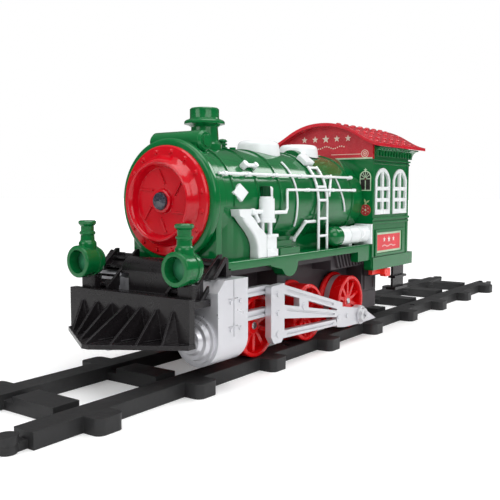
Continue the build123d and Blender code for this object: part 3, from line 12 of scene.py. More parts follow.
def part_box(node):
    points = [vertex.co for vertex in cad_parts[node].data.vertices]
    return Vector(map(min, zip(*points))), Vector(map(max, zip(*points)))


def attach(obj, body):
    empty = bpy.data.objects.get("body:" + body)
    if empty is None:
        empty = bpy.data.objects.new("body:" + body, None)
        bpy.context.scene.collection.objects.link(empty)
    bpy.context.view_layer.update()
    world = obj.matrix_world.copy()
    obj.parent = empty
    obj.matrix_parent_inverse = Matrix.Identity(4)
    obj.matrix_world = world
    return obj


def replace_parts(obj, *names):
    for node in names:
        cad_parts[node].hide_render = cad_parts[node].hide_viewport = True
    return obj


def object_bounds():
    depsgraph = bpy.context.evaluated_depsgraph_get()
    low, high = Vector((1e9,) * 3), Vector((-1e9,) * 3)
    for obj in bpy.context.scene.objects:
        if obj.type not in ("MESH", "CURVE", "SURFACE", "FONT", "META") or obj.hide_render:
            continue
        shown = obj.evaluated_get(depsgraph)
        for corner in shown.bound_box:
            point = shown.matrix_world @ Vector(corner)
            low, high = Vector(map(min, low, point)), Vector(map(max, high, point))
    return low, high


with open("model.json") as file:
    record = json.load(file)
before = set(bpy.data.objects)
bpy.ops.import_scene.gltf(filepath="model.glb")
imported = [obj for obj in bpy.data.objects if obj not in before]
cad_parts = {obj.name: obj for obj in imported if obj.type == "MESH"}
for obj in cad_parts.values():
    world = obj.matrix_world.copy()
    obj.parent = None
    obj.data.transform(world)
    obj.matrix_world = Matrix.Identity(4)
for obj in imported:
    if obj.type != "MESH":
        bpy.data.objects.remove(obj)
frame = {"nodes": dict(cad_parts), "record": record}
CAD_LOW, CAD_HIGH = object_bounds()
NODES = frame["nodes"]
MM = 0.001
BODY = "locomotive"
SIDES = (1, -1)             # signs of y: left, right
random.seed(7)


# ------------------------------------------------------------------ shader helpers
def srgb(*display):
    """Display colour (0-255) to linear RGBA."""
    linear = []
    for value in display:
        value /= 255.0
        linear.append(value / 12.92 if value <= 0.04045 else ((value + 0.055) / 1.055) ** 2.4)
    return tuple(linear) + (1.0,)


def tinted(colour, factor, lift=0.0):
    """The colour scaled and lifted, kept at or below 1."""
    return tuple(min(1.0, c * factor + lift) for c in colour[:3]) + (1.0,)


def feed(tree, value, socket):
    """Link an output to the socket, or set the socket to a constant."""
    if isinstance(value, bpy.types.NodeSocket):
        tree.links.new(value, socket)
    else:
        socket.default_value = value


def add_node(tree, kind, inputs=None, **settings):
    node = tree.nodes.new("ShaderNode" + kind)
    for key, value in settings.items():
        setattr(node, key, value)
    for key, value in (inputs or {}).items():
        feed(tree, value, node.inputs[key])
    return node


class Shader:
    """One material with a Principled surface, textured in object coordinates."""

    def __init__(self, name):
        self.material = bpy.data.materials.new(name)
        self.material.use_nodes = True
        self.tree = self.material.node_tree
        self.bsdf = self.tree.nodes["Principled BSDF"]
        self.coords = self.add("TexCoord").outputs["Object"]

    def add(self, kind, inputs=None, **settings):
        return add_node(self.tree, kind, inputs, **settings)

    def surface(self, inputs):
        for key, value in inputs.items():
            feed(self.tree, value, self.bsdf.inputs[key])

    def math(self, operation, a, b, clamp=False):
        node = self.add("Math", {0: a, 1: b}, operation=operation, use_clamp=clamp)
        return node.outputs[0]

    def mix(self, factor, a, b):
        # sockets 6 and 7 are the two colours, output 2 is the mixed colour
        return self.add("Mix", {"Factor": factor, 6: a, 7: b}, data_type="RGBA").outputs[2]

    def noise(self, scale, detail=3.0, roughness=0.5, distortion=0.0):
        return self.add("TexNoise", {
            "Scale": scale, "Detail": detail, "Roughness": roughness,
            "Distortion": distortion, "Vector": self.coords}).outputs["Fac"]

    def remap(self, value, source, target=(0.0, 1.0)):
        """Map the source range onto the target range, clamped."""
        return self.add("MapRange", {
            "From Min": source[0], "From Max": source[1],
            "To Min": target[0], "To Max": target[1], "Value": value}).outputs["Result"]

    def bump(self, height, strength, distance, normal=None):
        inputs = {"Strength": strength, "Distance": distance, "Height": height}
        if normal is not None:
            inputs["Normal"] = normal
        return self.add("Bump", inputs).outputs[0]

    def edges(self, radius, gain):
        """A mask that is 0 on flat skin and 1 on sharp edges, and the rounded normal."""
        rounded = self.add("Bevel", {"Radius": radius}, samples=4).outputs[0]
        normal = self.add("NewGeometry").outputs["Normal"]
        match = self.add("VectorMath", {0: rounded, 1: normal}, operation="DOT_PRODUCT")
        bend = self.math("SUBTRACT", 1.0, match.outputs["Value"])
        return self.math("MULTIPLY", bend, gain, clamp=True), rounded


# ------------------------------------------------------------------ materials
def plastic(name, base, rough=0.22, coat=0.0, wear_and_highlight=0.14, ripple=0.05, grain=0.0, dust=0.10,
            subsurface=0.0, specular=0.5, metallic=0.0, rubbed_and_highlight=None, drift=0.07):
    """Moulded skin with colour drift, flow marks, paler soft edges and dust.

    The paler edges are partly worn plastic and partly painted highlight. wear_and_highlight is
    how much the edges pale and rubbed_and_highlight their display colour, ripple the height of
    the flow marks, grain of the fine texture, and drift the spread of the base colour.
    """
    shader = Shader(name)
    base = srgb(*base)
    slow = shader.noise(scale=28.0, detail=3.0, roughness=0.55)
    fine = shader.noise(scale=620.0, detail=2.0, roughness=0.6)
    flow = shader.noise(scale=95.0, detail=4.0, roughness=0.6, distortion=1.2)
    edge, rounded = shader.edges(radius=0.0003, gain=9.0)

    dark = tinted(base, factor=1.0 - 1.7 * drift)
    light = tinted(base, factor=1.0 + drift, lift=0.002)
    colour = shader.mix(shader.remap(slow, source=(0.30, 0.70)), dark, light)
    # paler edges: partly worn plastic, partly painted highlight along the edges
    worn_and_highlight_colour = srgb(*rubbed_and_highlight) if rubbed_and_highlight else tinted(base, factor=1.35, lift=0.035)
    worn_and_highlight_patches = shader.remap(flow, source=(0.35, 0.75), target=(wear_and_highlight * 0.5, wear_and_highlight * 2.2))
    colour = shader.mix(shader.math("MULTIPLY", edge, worn_and_highlight_patches, clamp=True), colour, worn_and_highlight_colour)

    # dust and handling haze pale the colour and dull the shine
    clouds = shader.noise(scale=55.0, detail=5.0, roughness=0.65)
    haze = shader.remap(clouds, source=(0.52, 0.80), target=(0.0, dust))
    haze_cover, haze_grey = 0.30, (0.55, 0.55, 0.54, 1.0)
    colour = shader.mix(shader.math("MULTIPLY", haze, haze_cover), colour, haze_grey)

    edge_dulling = 0.06
    skin = shader.remap(flow, source=(0.25, 0.80), target=(rough * 0.85, rough * 1.25))
    roughness = shader.math("ADD", skin, haze)
    roughness = shader.math("ADD", roughness,
                            shader.math("MULTIPLY", edge, edge_dulling), clamp=True)

    height = shader.math("ADD", shader.math("MULTIPLY", flow, ripple),
                         shader.math("MULTIPLY", fine, ripple * 0.35 + grain))
    shader.surface({
        "Base Color": colour,
        "Roughness": roughness,
        "Normal": shader.bump(height, strength=0.35, distance=0.0004, normal=rounded),
        "Specular IOR Level": specular,
        "Metallic": metallic,
    })
    if coat:
        shader.surface({"Coat Weight": coat, "Coat Roughness": 0.08})
    if subsurface:
        shader.surface({"Subsurface Weight": subsurface, "Subsurface Scale": 1.0,
                        "Subsurface Radius": (0.0008, 0.0008, 0.0008)})
    return shader.material


def clear_lens(name):
    """Dark, glossy, slightly see-through plastic with a dimpled skin."""
    shader = Shader(name)
    smears = shader.noise(scale=300.0, detail=3.0)
    dimples = shader.noise(scale=420.0, detail=2.0)
    shader.surface({
        "Base Color": (0.035, 0.04, 0.06, 1.0),
        "Coat Weight": 1.0,
        "Coat Roughness": 0.03,
        "Transmission Weight": 0.12,
        "IOR": 1.49,
        "Roughness": shader.remap(smears, source=(0.3, 0.8), target=(0.03, 0.10)),
        "Normal": shader.bump(dimples, strength=0.7, distance=0.0006),
    })
    return shader.material


def printed(name, base, fleck=0.05):
    """Matte printed film with fine grain, slight ink drift and pale flecks."""
    shader = Shader(name)
    base = srgb(*base)
    rough = 0.42
    grain = shader.noise(scale=1800.0, detail=2.0, roughness=0.7)
    drift = shader.noise(scale=120.0, detail=3.0, roughness=0.6)
    dark = tinted(base, factor=0.82)
    light = tinted(base, factor=1.08, lift=0.004)
    fleck_colour = (0.9, 0.88, 0.85, 1.0)
    colour = shader.mix(shader.remap(drift, source=(0.3, 0.7)), dark, light)
    flecks = shader.remap(grain, source=(0.45, 0.75), target=(0.0, fleck))
    colour = shader.mix(flecks, colour, fleck_colour)
    shader.surface({
        "Base Color": colour,
        "Roughness": shader.remap(drift, source=(0.2, 0.8),
                                  target=(rough * 0.85, rough * 1.2)),
        "Normal": shader.bump(grain, strength=0.2, distance=0.00008),
        "Specular IOR Level": 0.4,
    })
    return shader.material


# name: display colour, finish; the paler edge colour and its amount in each finish are partly
# worn plastic and partly painted highlight
PLASTICS = {
    "green_body": ((0, 104, 50), dict(rough=0.13, wear_and_highlight=0.12, coat=0.15, dust=0.035,
                                      specular=0.42)),
    "red_body": ((200, 0, 24), dict(rough=0.14, wear_and_highlight=0.12, coat=0.15, dust=0.035,
                                    specular=0.42)),
    # the roof's pale pink edges are mostly painted highlight, partly worn plastic
    "roof_red": ((204, 16, 38), dict(rough=0.24, ripple=0.08, wear_and_highlight=0.26, coat=0.25, dust=0.05,
                                     rubbed_and_highlight=(238, 120, 128), subsurface=0.03)),
    "wheel_red": ((224, 4, 10), dict(rough=0.24, wear_and_highlight=0.12, dust=0.04)),
    "white_trim": ((236, 240, 241), dict(rough=0.24, ripple=0.04, wear_and_highlight=0.05, dust=0.05,
                                         subsurface=0.06, drift=0.02)),
    "silver_rods": ((214, 214, 219), dict(rough=0.30, ripple=0.10, wear_and_highlight=0.25, metallic=0.55,
                                          dust=0.06, rubbed_and_highlight=(245, 245, 248), grain=0.08,
                                          drift=0.04)),
    "black_front": ((26, 23, 25), dict(rough=0.26, ripple=0.10, wear_and_highlight=0.12, dust=0.05,
                                       specular=0.36, rubbed_and_highlight=(130, 130, 135))),
    "chassis_grey": ((66, 60, 64), dict(rough=0.48, ripple=0.08, grain=0.10, dust=0.12,
                                        specular=0.35)),
    "track_black": ((42, 42, 43), dict(rough=0.46, ripple=0.10, grain=0.28, wear_and_highlight=0.10,
                                       dust=0.14, specular=0.32, rubbed_and_highlight=(96, 96, 98))),
    "tyre_clear": ((168, 140, 146), dict(rough=0.38, grain=0.2, subsurface=0.25, wear_and_highlight=0.1)),
    "gear_white": ((226, 224, 212), dict(rough=0.42, grain=0.1, subsurface=0.1)),
    "steel": ((196, 197, 200), dict(rough=0.26, metallic=1.0, grain=0.15, ripple=0.02,
                                    wear_and_highlight=0.2)),
    "screw_black": ((206, 206, 210), dict(rough=0.30, metallic=0.6, grain=0.15, wear_and_highlight=0.25)),
    "motor_can": ((176, 178, 182), dict(rough=0.33, metallic=1.0, grain=0.2)),
    "cell": ((52, 56, 66), dict(rough=0.3, metallic=0.5)),
    "contact": ((206, 202, 190), dict(rough=0.28, metallic=1.0)),
    "board": ((14, 96, 48), dict(rough=0.34, grain=0.05)),
    "wire": ((150, 22, 24), dict(rough=0.5, grain=0.05)),
    "speaker": ((34, 34, 35), dict(rough=0.6, grain=0.3)),
    "switch_red": ((240, 44, 34), dict(rough=0.28, subsurface=0.05)),
    "pump_cap_green": ((0, 62, 30), dict(rough=0.2, coat=0.2, dust=0.03)),
    "lens": ((46, 128, 88), dict(rough=0.36, ripple=0.15, subsurface=0.1)),
}
# name: display colour, finish
PRINTS = {
    "print_red": ((203, 34, 50), {}),
    "print_label_red": ((226, 62, 70), {}),
    "print_cream": ((240, 222, 205), dict(fleck=0.0)),
    "print_pale_green": ((196, 222, 190), dict(fleck=0.0)),
    "print_dark": ((34, 26, 28), dict(fleck=0.03)),
    "print_brown": ((98, 44, 40), {}),
    "print_bauble": ((176, 30, 36), dict(fleck=0.10)),
    "print_leaf": ((170, 196, 140), {}),
    "print_white": ((244, 240, 236), dict(fleck=0.0)),
}
MATERIALS = {name: plastic(name, base, **finish) for name, (base, finish) in PLASTICS.items()}
MATERIALS["clear_lens"] = clear_lens("clear_lens")
for name, (base, finish) in PRINTS.items():
    MATERIALS[name] = printed(name, base, **finish)

# CAD slots whose material has another name; the rest share theirs
SLOT_MATERIAL = {
    "pump_white": "white_trim", "tank_mix": "white_trim",
    "label_red": "print_label_red", "label_front": "print_red",
}


# ------------------------------------------------------------------ CAD pieces
def paint_faces(obj, material_name, test):
    """Add a material and give it to the faces whose centre passes the test."""
    obj.data.materials.append(MATERIALS[material_name])
    for face in obj.data.polygons:
        if test(face.center):
            face.material_index = 1


def smooth_with_creases(obj, angle, weld=False):
    """Smooth shading, split at edges sharper than the angle (degrees)."""
    for face in obj.data.polygons:
        face.use_smooth = True
    if weld:
        obj.modifiers.new("weld", "WELD").merge_threshold = 0.000004
    crease = obj.modifiers.new("crease", "EDGE_SPLIT")
    crease.split_angle = math.radians(angle)
    crease.use_edge_sharp = False


def dress_cad_pieces():
    for row in frame["record"]["subparts"]:
        name, slot = row["node"], row["material_slot"]
        material_name = "roof_red" if name == "cab_roof" else SLOT_MATERIAL.get(slot, slot)
        materials = NODES[name].data.materials
        materials.clear()
        materials.append(MATERIALS[material_name])

    # green front ends on the tanks, dark green caps on the pumps
    tank_end_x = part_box("air_tanks")[1].x - 0.0081
    cap_x, cap_z = 0.0416, 0.0671
    paint_faces(NODES["air_tanks"], "green_body", lambda c: c.x > tank_end_x)
    paint_faces(NODES["air_pumps"], "pump_cap_green", lambda c: c.z > cap_z and c.x > cap_x)
    NODES["handrails"].data.materials.append(MATERIALS["green_body"])

    for obj in NODES.values():
        attributes = obj.data.attributes
        if "custom_normal" in attributes:
            attributes.remove(attributes["custom_normal"])
        smooth_with_creases(obj, angle=32.0, weld=True)


dress_cad_pieces()


# ------------------------------------------------------------------ helpers for added pieces
def build_object(mesh, name, material_names, crease_angle=None):
    """Turn a bmesh into an object that rides on the locomotive."""
    data = bpy.data.meshes.new(name)
    bmesh.ops.recalc_face_normals(mesh, faces=mesh.faces[:])
    mesh.to_mesh(data)
    mesh.free()
    obj = bpy.data.objects.new(name, data)
    bpy.context.scene.collection.objects.link(obj)
    for material_name in material_names:
        data.materials.append(MATERIALS[material_name])
    if crease_angle is not None:
        smooth_with_creases(obj, crease_angle)
    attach(obj, BODY)
    return obj


# Outlines in a wall plane (mm): lists of (across, up).
def rect(x0, x1, y0, y1):
    return [(x0, y0), (x1, y0), (x1, y1), (x0, y1)]


def circle(x, y, radius, steps=32):
    angles = [2 * math.pi * i / steps for i in range(steps)]
    return [(x + radius * math.cos(a), y + radius * math.sin(a)) for a in angles]


def star(x, y, tip, root=None, points=5):
    """Star with one tip up; tip and root are radii."""
    radii = (tip, tip * 0.42 if root is None else root)
    outline = []
    for i in range(2 * points):
        a = math.radians(90.0 + 180.0 * i / points)
        outline.append((x + radii[i % 2] * math.cos(a), y + radii[i % 2] * math.sin(a)))
    return outline


def arch(x, half_width, bottom, spring, rise, steps=14):
    """Rectangle up to the springing height, with an elliptical arch on top."""
    outline = [(x - half_width, bottom), (x + half_width, bottom)]
    for i in range(steps + 1):
        a = math.pi * i / steps
        outline.append((x + half_width * math.cos(a), spring + rise * math.sin(a)))
    return outline


class Relief:
    """Shapes raised from a wall, in one mesh; inks maps each ink to its material."""

    def __init__(self, **inks):
        self.mesh = bmesh.new()
        self.inks = inks

    def face(self, origin, across, outward):
        """Set the wall the next shapes stand on."""
        self.origin, self.across, self.outward = Vector(origin), Vector(across), Vector(outward)

    def loop(self, outline, depth):
        up = Vector((0, 0, 1))
        return [self.mesh.verts.new((self.origin + self.across * a + up * b
                                     + self.outward * depth) * MM) for a, b in outline]

    def add_faces(self, loops, ink):
        index = list(self.inks).index(ink)
        for verts in loops:
            self.mesh.faces.new(verts).material_index = index

    def plate(self, outline, ink, depth):
        """Solid outline, from the wall out to the depth."""
        low, high = self.loop(outline, 0), self.loop(outline, depth)
        count = len(outline)
        walls = [(low[i], low[(i + 1) % count], high[(i + 1) % count], high[i])
                 for i in range(count)]
        self.add_faces([low, high] + walls, ink)

    def ring(self, outer, inner, ink, depth):
        """Solid frame between two outlines with the same number of points."""
        a0, a1 = self.loop(outer, 0), self.loop(outer, depth)
        b0, b1 = self.loop(inner, 0), self.loop(inner, depth)
        for i in range(len(outer)):
            j = (i + 1) % len(outer)
            self.add_faces(((a0[i], a0[j], a1[j], a1[i]), (b0[j], b0[i], b1[i], b1[j]),
                            (a1[i], a1[j], b1[j], b1[i]), (a0[j], a0[i], b0[i], b0[j])), ink)

    def beads(self, count, height, wave, phase_step, ink, depth):
        """Centred row of dots that waves up and down."""
        pitch, radius = 1.2, 0.34
        start = -(count - 1) / 2 * pitch
        for i in range(count):
            y = height + wave * math.sin(i * phase_step)
            self.plate(circle(start + i * pitch, y, radius, steps=12), ink, depth)

    def finish(self, name, slot):
        return build_object(self.mesh, name, self.inks.values())


# ------------------------------------------------------------------ roof studs
STUD_ROWS_Y = [0.0075, 0.0128, 0.0180, 0.0230, 0.0278]
STUD_COLUMNS = 7
STUD_PITCH = 0.0078
STUD_FRONT_GAP = 0.0042     # from the roof's front edge to the first stud
STUD_REAR_GAP = 0.003
STUD_SINK = 0.00015         # depth of the base below the roof skin
STUD_SIDES = 14
STUD_STRETCH = (1.35, 0.8)  # along x, across
# radius, height
STUD_PROFILE = [(0.00135, 0.0), (0.00135, 0.00042), (0.00112, 0.00066), (0.0006, 0.00078)]


def add_stud(mesh, place):
    """Oval button with a stepped dome, on its own z axis."""
    along, across = STUD_STRETCH
    rings = []
    for radius, height in STUD_PROFILE:
        angles = [2 * math.pi * i / STUD_SIDES for i in range(STUD_SIDES)]
        rings.append([mesh.verts.new(place @ Vector((along * radius * math.cos(a),
                                                     across * radius * math.sin(a), height)))
                      for a in angles])
    for low, high in zip(rings, rings[1:]):
        for i in range(STUD_SIDES):
            j = (i + 1) % STUD_SIDES
            mesh.faces.new((low[i], low[j], high[j], high[i]))
    mesh.faces.new(rings[-1])
    mesh.faces.new(list(reversed(rings[0])))


def build_roof_studs():
    roof_low, roof_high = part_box("cab_roof")
    bpy.context.view_layer.update()     # the ray casts need the current roof surface
    forward, down, ray_start_z = Vector((1, 0, 0)), Vector((0, 0, -1)), 0.2
    mesh = bmesh.new()
    for row, row_y in enumerate(STUD_ROWS_Y):
        stagger = (row % 2) * STUD_PITCH / 2
        for side in SIDES:
            for column in range(STUD_COLUMNS):
                x = roof_high.x - STUD_FRONT_GAP - stagger - column * STUD_PITCH
                if x < roof_low.x + STUD_REAR_GAP:
                    continue
                hit, point, normal, _ = NODES["cab_roof"].ray_cast(
                    Vector((x, side * row_y, ray_start_z)), down)
                if not hit:
                    continue
                if normal.z < 0:
                    normal = -normal
                across = normal.cross(forward).normalized()
                turn = Matrix((forward, across, normal)).transposed().to_4x4()
                add_stud(mesh, Matrix.Translation(point - normal * STUD_SINK) @ turn)
    # the studs stay just below the top of the CAD model
    top = CAD_HIGH.z - 0.00001
    for vert in mesh.verts:
        if vert.co.z > top:
            vert.co.z = top
    build_object(mesh, "roof_studs", ["roof_red"], crease_angle=40)


build_roof_studs()

# ------------------------------------------------------------------ cab walls (mm)
FRONT_WALL = dict(origin=(-41.6, 0, 0), across=(0, 1, 0), outward=(1, 0, 0))
REAR_WALL_X = -84.1
REAR_EMBED = 0.3            # the rear trim starts this far inside the wall
SIDE_LABEL_X, SIDE_WALL_Y = -60.8, 25.8

# y, z
GABLE_OUTLINE = [
    (-25.6, 85.0), (25.6, 85.0), (25.6, 92.3), (23.0, 94.4), (16.0, 97.95), (8.0, 100.75),
    (0, 101.7), (-8.0, 100.75), (-16.0, 97.95), (-23.0, 94.4), (-25.6, 92.3),
]


def build_gable_print():
    """Front gable: red board with lines, rosettes, stars, beads and a pale lower border."""
    relief = Relief(field="print_red", ink="print_cream", border="print_pale_green")
    relief.face(**FRONT_WALL)
    relief.plate(GABLE_OUTLINE, "field", depth=0.12)
    relief.plate(rect(-25.6, 25.6, 84.98, 85.62), "border", depth=0.20)
    ink = dict(ink="ink", depth=0.18)
    for side in SIDES:
        relief.plate(rect(*sorted((side * 3.2, side * 19.4)), 87.25, 87.5), **ink)
        y, z = side * 21.6, 87.5
        for outer, inner in ((1.9, 1.62), (1.05, 0.8)):
            relief.ring(circle(y, z, outer), circle(y, z, inner), **ink)
        relief.plate(star(y, z, 0.55, 0.25), **ink)
    for y in (-12.4, -6.2, 0.0, 6.2, 12.4):
        relief.plate(star(y, 95.2, 2.1 if y == 0 else 1.75), **ink)
    relief.beads(count=18, height=91.0, wave=0.55, phase_step=0.9, **ink)
    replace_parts(relief.finish("gable_print", "label_red"), "gable_label")


def add_painted_window(relief, y):
    """Arched window with a crossbar, a fan of rays and a star above."""
    half_width, bottom, spring, rise = 3.0, 69.6, 76.3, 2.9
    pane_inset, frame_width = 0.15, 0.42
    relief.plate(arch(y, half_width - pane_inset, bottom + pane_inset, spring,
                      rise - pane_inset), "dark", depth=0.10)
    relief.ring(arch(y, half_width, bottom, spring, rise),
                arch(y, half_width - frame_width, bottom + frame_width, spring,
                     rise - frame_width), "pale", depth=0.17)
    relief.plate(rect(y - 2.7, y + 2.7, spring - 1.15, spring - 0.75), "pale", depth=0.16)
    relief.plate(rect(y - 0.2, y + 0.2, bottom + 0.3, spring - 0.9), "pale", depth=0.16)
    hub_z, half_ray = spring - 0.8, 0.13
    for angle in (35, 62, 90, 118, 145):
        cos, sin = math.cos(math.radians(angle)), math.sin(math.radians(angle))
        start = Vector((y + 0.5 * cos, hub_z + 0.5 * sin))
        end = Vector((y + 2.75 * cos, hub_z + 3.3 * sin))
        w = Vector((-sin, cos)) * half_ray
        relief.plate([tuple(p) for p in (start - w, end - w, end + w, start + w)],
                     "pale", depth=0.16)
    relief.plate(star(y, spring - 1.0, 0.85, 0.42, points=6), "brown", depth=0.20)
    relief.plate(star(y, spring + rise + 0.4, 0.95, 0.4), "pale", depth=0.20)


def add_bauble(relief, y, side):
    """Ball with dots and a star, a cap and two leaves."""
    ball_y, ball_z, dot_ring = y + side * 0.25, 60.3, 1.6
    relief.plate(circle(ball_y, ball_z, 2.75, steps=40), "bauble", depth=0.14)
    for angle in (90, 30, -30, -90, -150, 150):
        a = math.radians(angle)
        relief.plate(circle(ball_y + dot_ring * math.cos(a), ball_z + dot_ring * math.sin(a),
                            0.24, steps=10), "pale", depth=0.19)
    relief.plate(star(ball_y, ball_z, 0.8, 0.32, points=6), "pale", depth=0.19)
    relief.plate(rect(y - 0.25, y + 0.75, 62.9, 63.6), "leaf", depth=0.19)
    for leaf in ([(0.25, 63.5), (1.5, 64.0), (2.3, 65.0), (1.0, 64.7)],
                 [(0.25, 63.5), (-0.5, 64.4), (-0.4, 65.7), (0.4, 64.7)]):
        relief.plate([(y + dy, z) for dy, z in leaf], "leaf", depth=0.17)


def build_front_wall_print():
    """Front cab wall: a window over a bauble on each side of the boiler."""
    relief = Relief(dark="print_dark", pale="print_pale_green", brown="print_brown",
                    bauble="print_bauble", leaf="print_leaf")
    relief.face(**FRONT_WALL)
    for side in SIDES:
        y = side * 22.05
        add_painted_window(relief, y)
        add_bauble(relief, y, side)
    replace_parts(relief.finish("front_wall_print", "label_front"), "front_labels")


def build_side_print():
    """Side labels: red field in a pale border, with three stars over a beaded line."""
    relief = Relief(border="print_pale_green", field="print_label_red", ink="print_white")
    for side in SIDES:
        relief.face(origin=(SIDE_LABEL_X, side * SIDE_WALL_Y, 0), across=(-side, 0, 0),
                    outward=(0, side, 0))
        relief.plate(rect(-14.7, 14.7, 39.05, 49.05), "border", depth=0.14)
        relief.plate(rect(-13.3, 13.3, 40.1, 48.0), "field", depth=0.19)
        for x, tip in ((-5.4, 1.4), (0.0, 1.75), (5.4, 1.4)):
            relief.plate(star(x, 45.4, tip), "ink", depth=0.25)
        relief.beads(count=13, height=42.2, wave=0.35, phase_step=1, ink="ink", depth=0.25)
    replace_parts(relief.finish("side_print", "label_red"), "side_labels")


def add_door(relief):
    """Arched door with a lower panel, a glazing frame, a knob and three hinges."""
    bottom, spring = 37.4, 72.0
    relief.plate(arch(0, 7.6, bottom, spring, 5.0, steps=20), "green", depth=1.35)
    relief.ring(arch(0, 9.2, bottom, spring, 6.6, steps=20),
                arch(0, 7.5, bottom, spring, 4.9, steps=20), "green", depth=1.9)
    relief.ring(rect(-6.0, 6.0, 39.4, 52.4), rect(-5.1, 5.1, 40.3, 51.5), "green", depth=1.75)
    relief.plate(rect(-3.9, 3.9, 41.5, 50.3), "green", depth=1.6)
    relief.ring(arch(0, 6.0, 55.0, 71.4, 3.9, steps=20),
                arch(0, 5.1, 55.9, 71.4, 3.1, steps=20), "white", depth=1.75)
    for bar in ((-0.3, 0.3, 55.5, 74.2), (-5.4, 5.4, 62.6, 63.2), (-5.4, 5.4, 69.6, 70.2)):
        relief.plate(rect(*bar), "white", depth=1.62)
    knob = (-6.8, 53.9)
    relief.plate(circle(*knob, 0.75, steps=20), "silver", depth=2.1)
    relief.plate(circle(*knob, 1.15, steps=24), "silver", depth=1.6)
    hinge_height = 2.2
    for z in (43.0, 57.5, 69.0):
        relief.plate(rect(6.4, 8.6, z, z + hinge_height), "green", depth=2.05)
        for across in (6.9, 8.1):
            relief.plate(circle(across, z + hinge_height / 2, 0.28, steps=10),
                         "green", depth=2.2)


def add_rear_window(relief, middle):
    """Small arched window with glazing bars and a sill."""
    relief.ring(arch(middle, 4.6, 59.6, 72.6, 4.2, steps=20),
                arch(middle, 3.8, 60.4, 72.6, 3.5, steps=20), "white", depth=0.95)
    relief.plate(rect(middle - 0.28, middle + 0.28, 60.0, 76.4), "white", depth=0.8)
    for z in (65.4, 71.6):
        relief.plate(rect(middle - 4.0, middle + 4.0, z, z + 0.56), "white", depth=0.8)
    relief.plate(rect(middle - 5.0, middle + 5.0, 58.5, 59.7), "green", depth=1.5)


def build_rear_wall_trim():
    """Rear cab wall: door, a window each side, and rivets along the top and bottom."""
    relief = Relief(green="green_body", white="white_trim", silver="silver_rods")
    relief.face(origin=(REAR_WALL_X + REAR_EMBED, 0, 0), across=(0, -1, 0),
                outward=(-1, 0, 0))
    add_door(relief)
    for side in SIDES:
        add_rear_window(relief, side * 16.6)
    for across in range(-21, 22, 3):
        if abs(across) > 9:     # clear of the door
            for z in (80.6, 39.2):
                relief.plate(circle(across, z, 0.4, steps=12), "green", depth=0.65)
    bevel = relief.finish("rear_wall_trim", "green_body").modifiers.new("bevel", "BEVEL")
    bevel.width = 0.00014
    bevel.segments = 2
    bevel.limit_method = "ANGLE"
    bevel.angle_limit = math.radians(50)


build_gable_print()
build_front_wall_print()
build_side_print()
build_rear_wall_trim()

# ------------------------------------------------------------------ stage, lights, camera
scene = bpy.context.scene
scene.view_settings.view_transform = "Standard"
scene.view_settings.look = "None"


def floor_paper():
    """White paper that glows towards plain white away from the locomotive."""
    shader = Shader("floor_paper")
    clouds = shader.remap(shader.noise(scale=3.0, detail=4.0), source=(0.3, 0.7))
    distance = shader.add("VectorMath", {0: shader.coords}, operation="LENGTH")
    glow = shader.remap(distance.outputs["Value"], source=(0.30, 1.10), target=(0.17, 0.90))
    camera_ray = shader.add("LightPath").outputs["Is Camera Ray"]
    shader.surface({
        "Base Color": shader.mix(clouds, (0.90, 0.90, 0.90, 1), (0.93, 0.93, 0.93, 1)),
        "Roughness": 0.75,
        "Specular IOR Level": 0.15,
        "Emission Color": (1, 1, 1, 1),
        "Emission Strength": shader.math("MULTIPLY", glow, camera_ray),
    })
    return shader.material


def build_floor():
    half, drop = 6.0, 0.00002   # set just below z = 0
    data = bpy.data.meshes.new("floor")
    data.from_pydata([(-half, -half, 0), (half, -half, 0), (half, half, 0), (-half, half, 0)],
                     [], [(0, 1, 2, 3)])
    floor = bpy.data.objects.new("floor", data)
    scene.collection.objects.link(floor)
    floor.location.z = -drop
    data.materials.append(floor_paper())


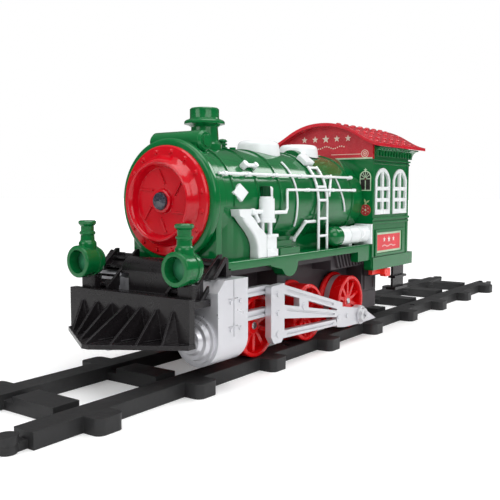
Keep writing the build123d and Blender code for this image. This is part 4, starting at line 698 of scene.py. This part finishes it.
def build_world():
    """White to the camera, soft grey fill, and a dim gradient in reflections."""
    world = bpy.data.worlds.new("studio")
    scene.world = world
    world.use_nodes = True
    tree = world.node_tree
    tree.nodes.clear()

    def background(colour, strength):
        return add_node(tree, "Background", {0: colour, 1: strength}).outputs[0]

    white = (1, 1, 1, 1)
    output = add_node(tree, "OutputWorld")
    seen = background(white, strength=1.0)
    fill = background(white, strength=0.52)
    direction = add_node(tree, "TexCoord").outputs["Generated"]
    axes = add_node(tree, "SeparateXYZ", {0: direction})
    gradient = add_node(tree, "ValToRGB", {0: axes.outputs["Z"]})
    low, high = (0.10, 0.10, 0.10, 1), (0.40, 0.40, 0.40, 1)
    stops = gradient.color_ramp.elements
    stops[0].position, stops[0].color = 0.0, low
    stops[1].position, stops[1].color = 1.0, high
    stops.new(0.25).color = low
    reflected = background(gradient.outputs[0], strength=1.0)
    rays = add_node(tree, "LightPath").outputs
    lighting = add_node(tree, "MixShader", {0: rays["Is Glossy Ray"], 1: fill, 2: reflected})
    final = add_node(tree, "MixShader",
                     {0: rays["Is Camera Ray"], 1: lighting.outputs[0], 2: seen})
    feed(tree, final.outputs[0], output.inputs[0])


# name, location, target, (width, height), watts
SOFTBOXES = [
    ("softbox_top", (0.05, 0.12, 0.75), (0, 0, 0.05), (0.9, 0.45), 3.3),
    ("softbox_side", (0.30, 0.75, 0.50), (0, 0, 0.05), (0.7, 0.5), 2.6),
    ("softbox_front", (0.80, -0.25, 0.42), (0, 0, 0.05), (0.5, 0.4), 1.45),
    ("softbox_back", (-0.60, 0.23, 0.48), (0, 0.01, 0.08), (0.26, 0.20), 0.9),
]


def build_lights():
    for name, location, target, (width, height), watts in SOFTBOXES:
        light = bpy.data.lights.new(name, "AREA")
        light.shape = "RECTANGLE"
        light.size, light.size_y, light.energy = width, height, watts
        obj = bpy.data.objects.new(name, light)
        scene.collection.objects.link(obj)
        obj.location = location
        aim = Vector(target) - Vector(location)
        obj.rotation_euler = aim.to_track_quat("-Z", "Y").to_euler()


def build_camera():
    """Low view from the front left, looking slightly down."""
    data = bpy.data.cameras.new("camera")
    data.sensor_width = 36.0    # mm
    data.lens = 50.6952         # mm
    data.clip_start, data.clip_end = 0.01, 50
    camera = bpy.data.objects.new("camera", data)
    scene.collection.objects.link(camera)
    camera.location = (0.26872, 0.17670, 0.06861)
    heading, dip = math.radians(215.76), math.radians(4.644)
    look = Vector((math.cos(heading) * math.cos(dip), math.sin(heading) * math.cos(dip),
                   -math.sin(dip)))
    camera.rotation_mode = "QUATERNION"
    camera.rotation_quaternion = look.to_track_quat("-Z", "Y")
    scene.camera = camera


build_floor()
build_world()
build_lights()
build_camera()

bpy.context.view_layer.update()
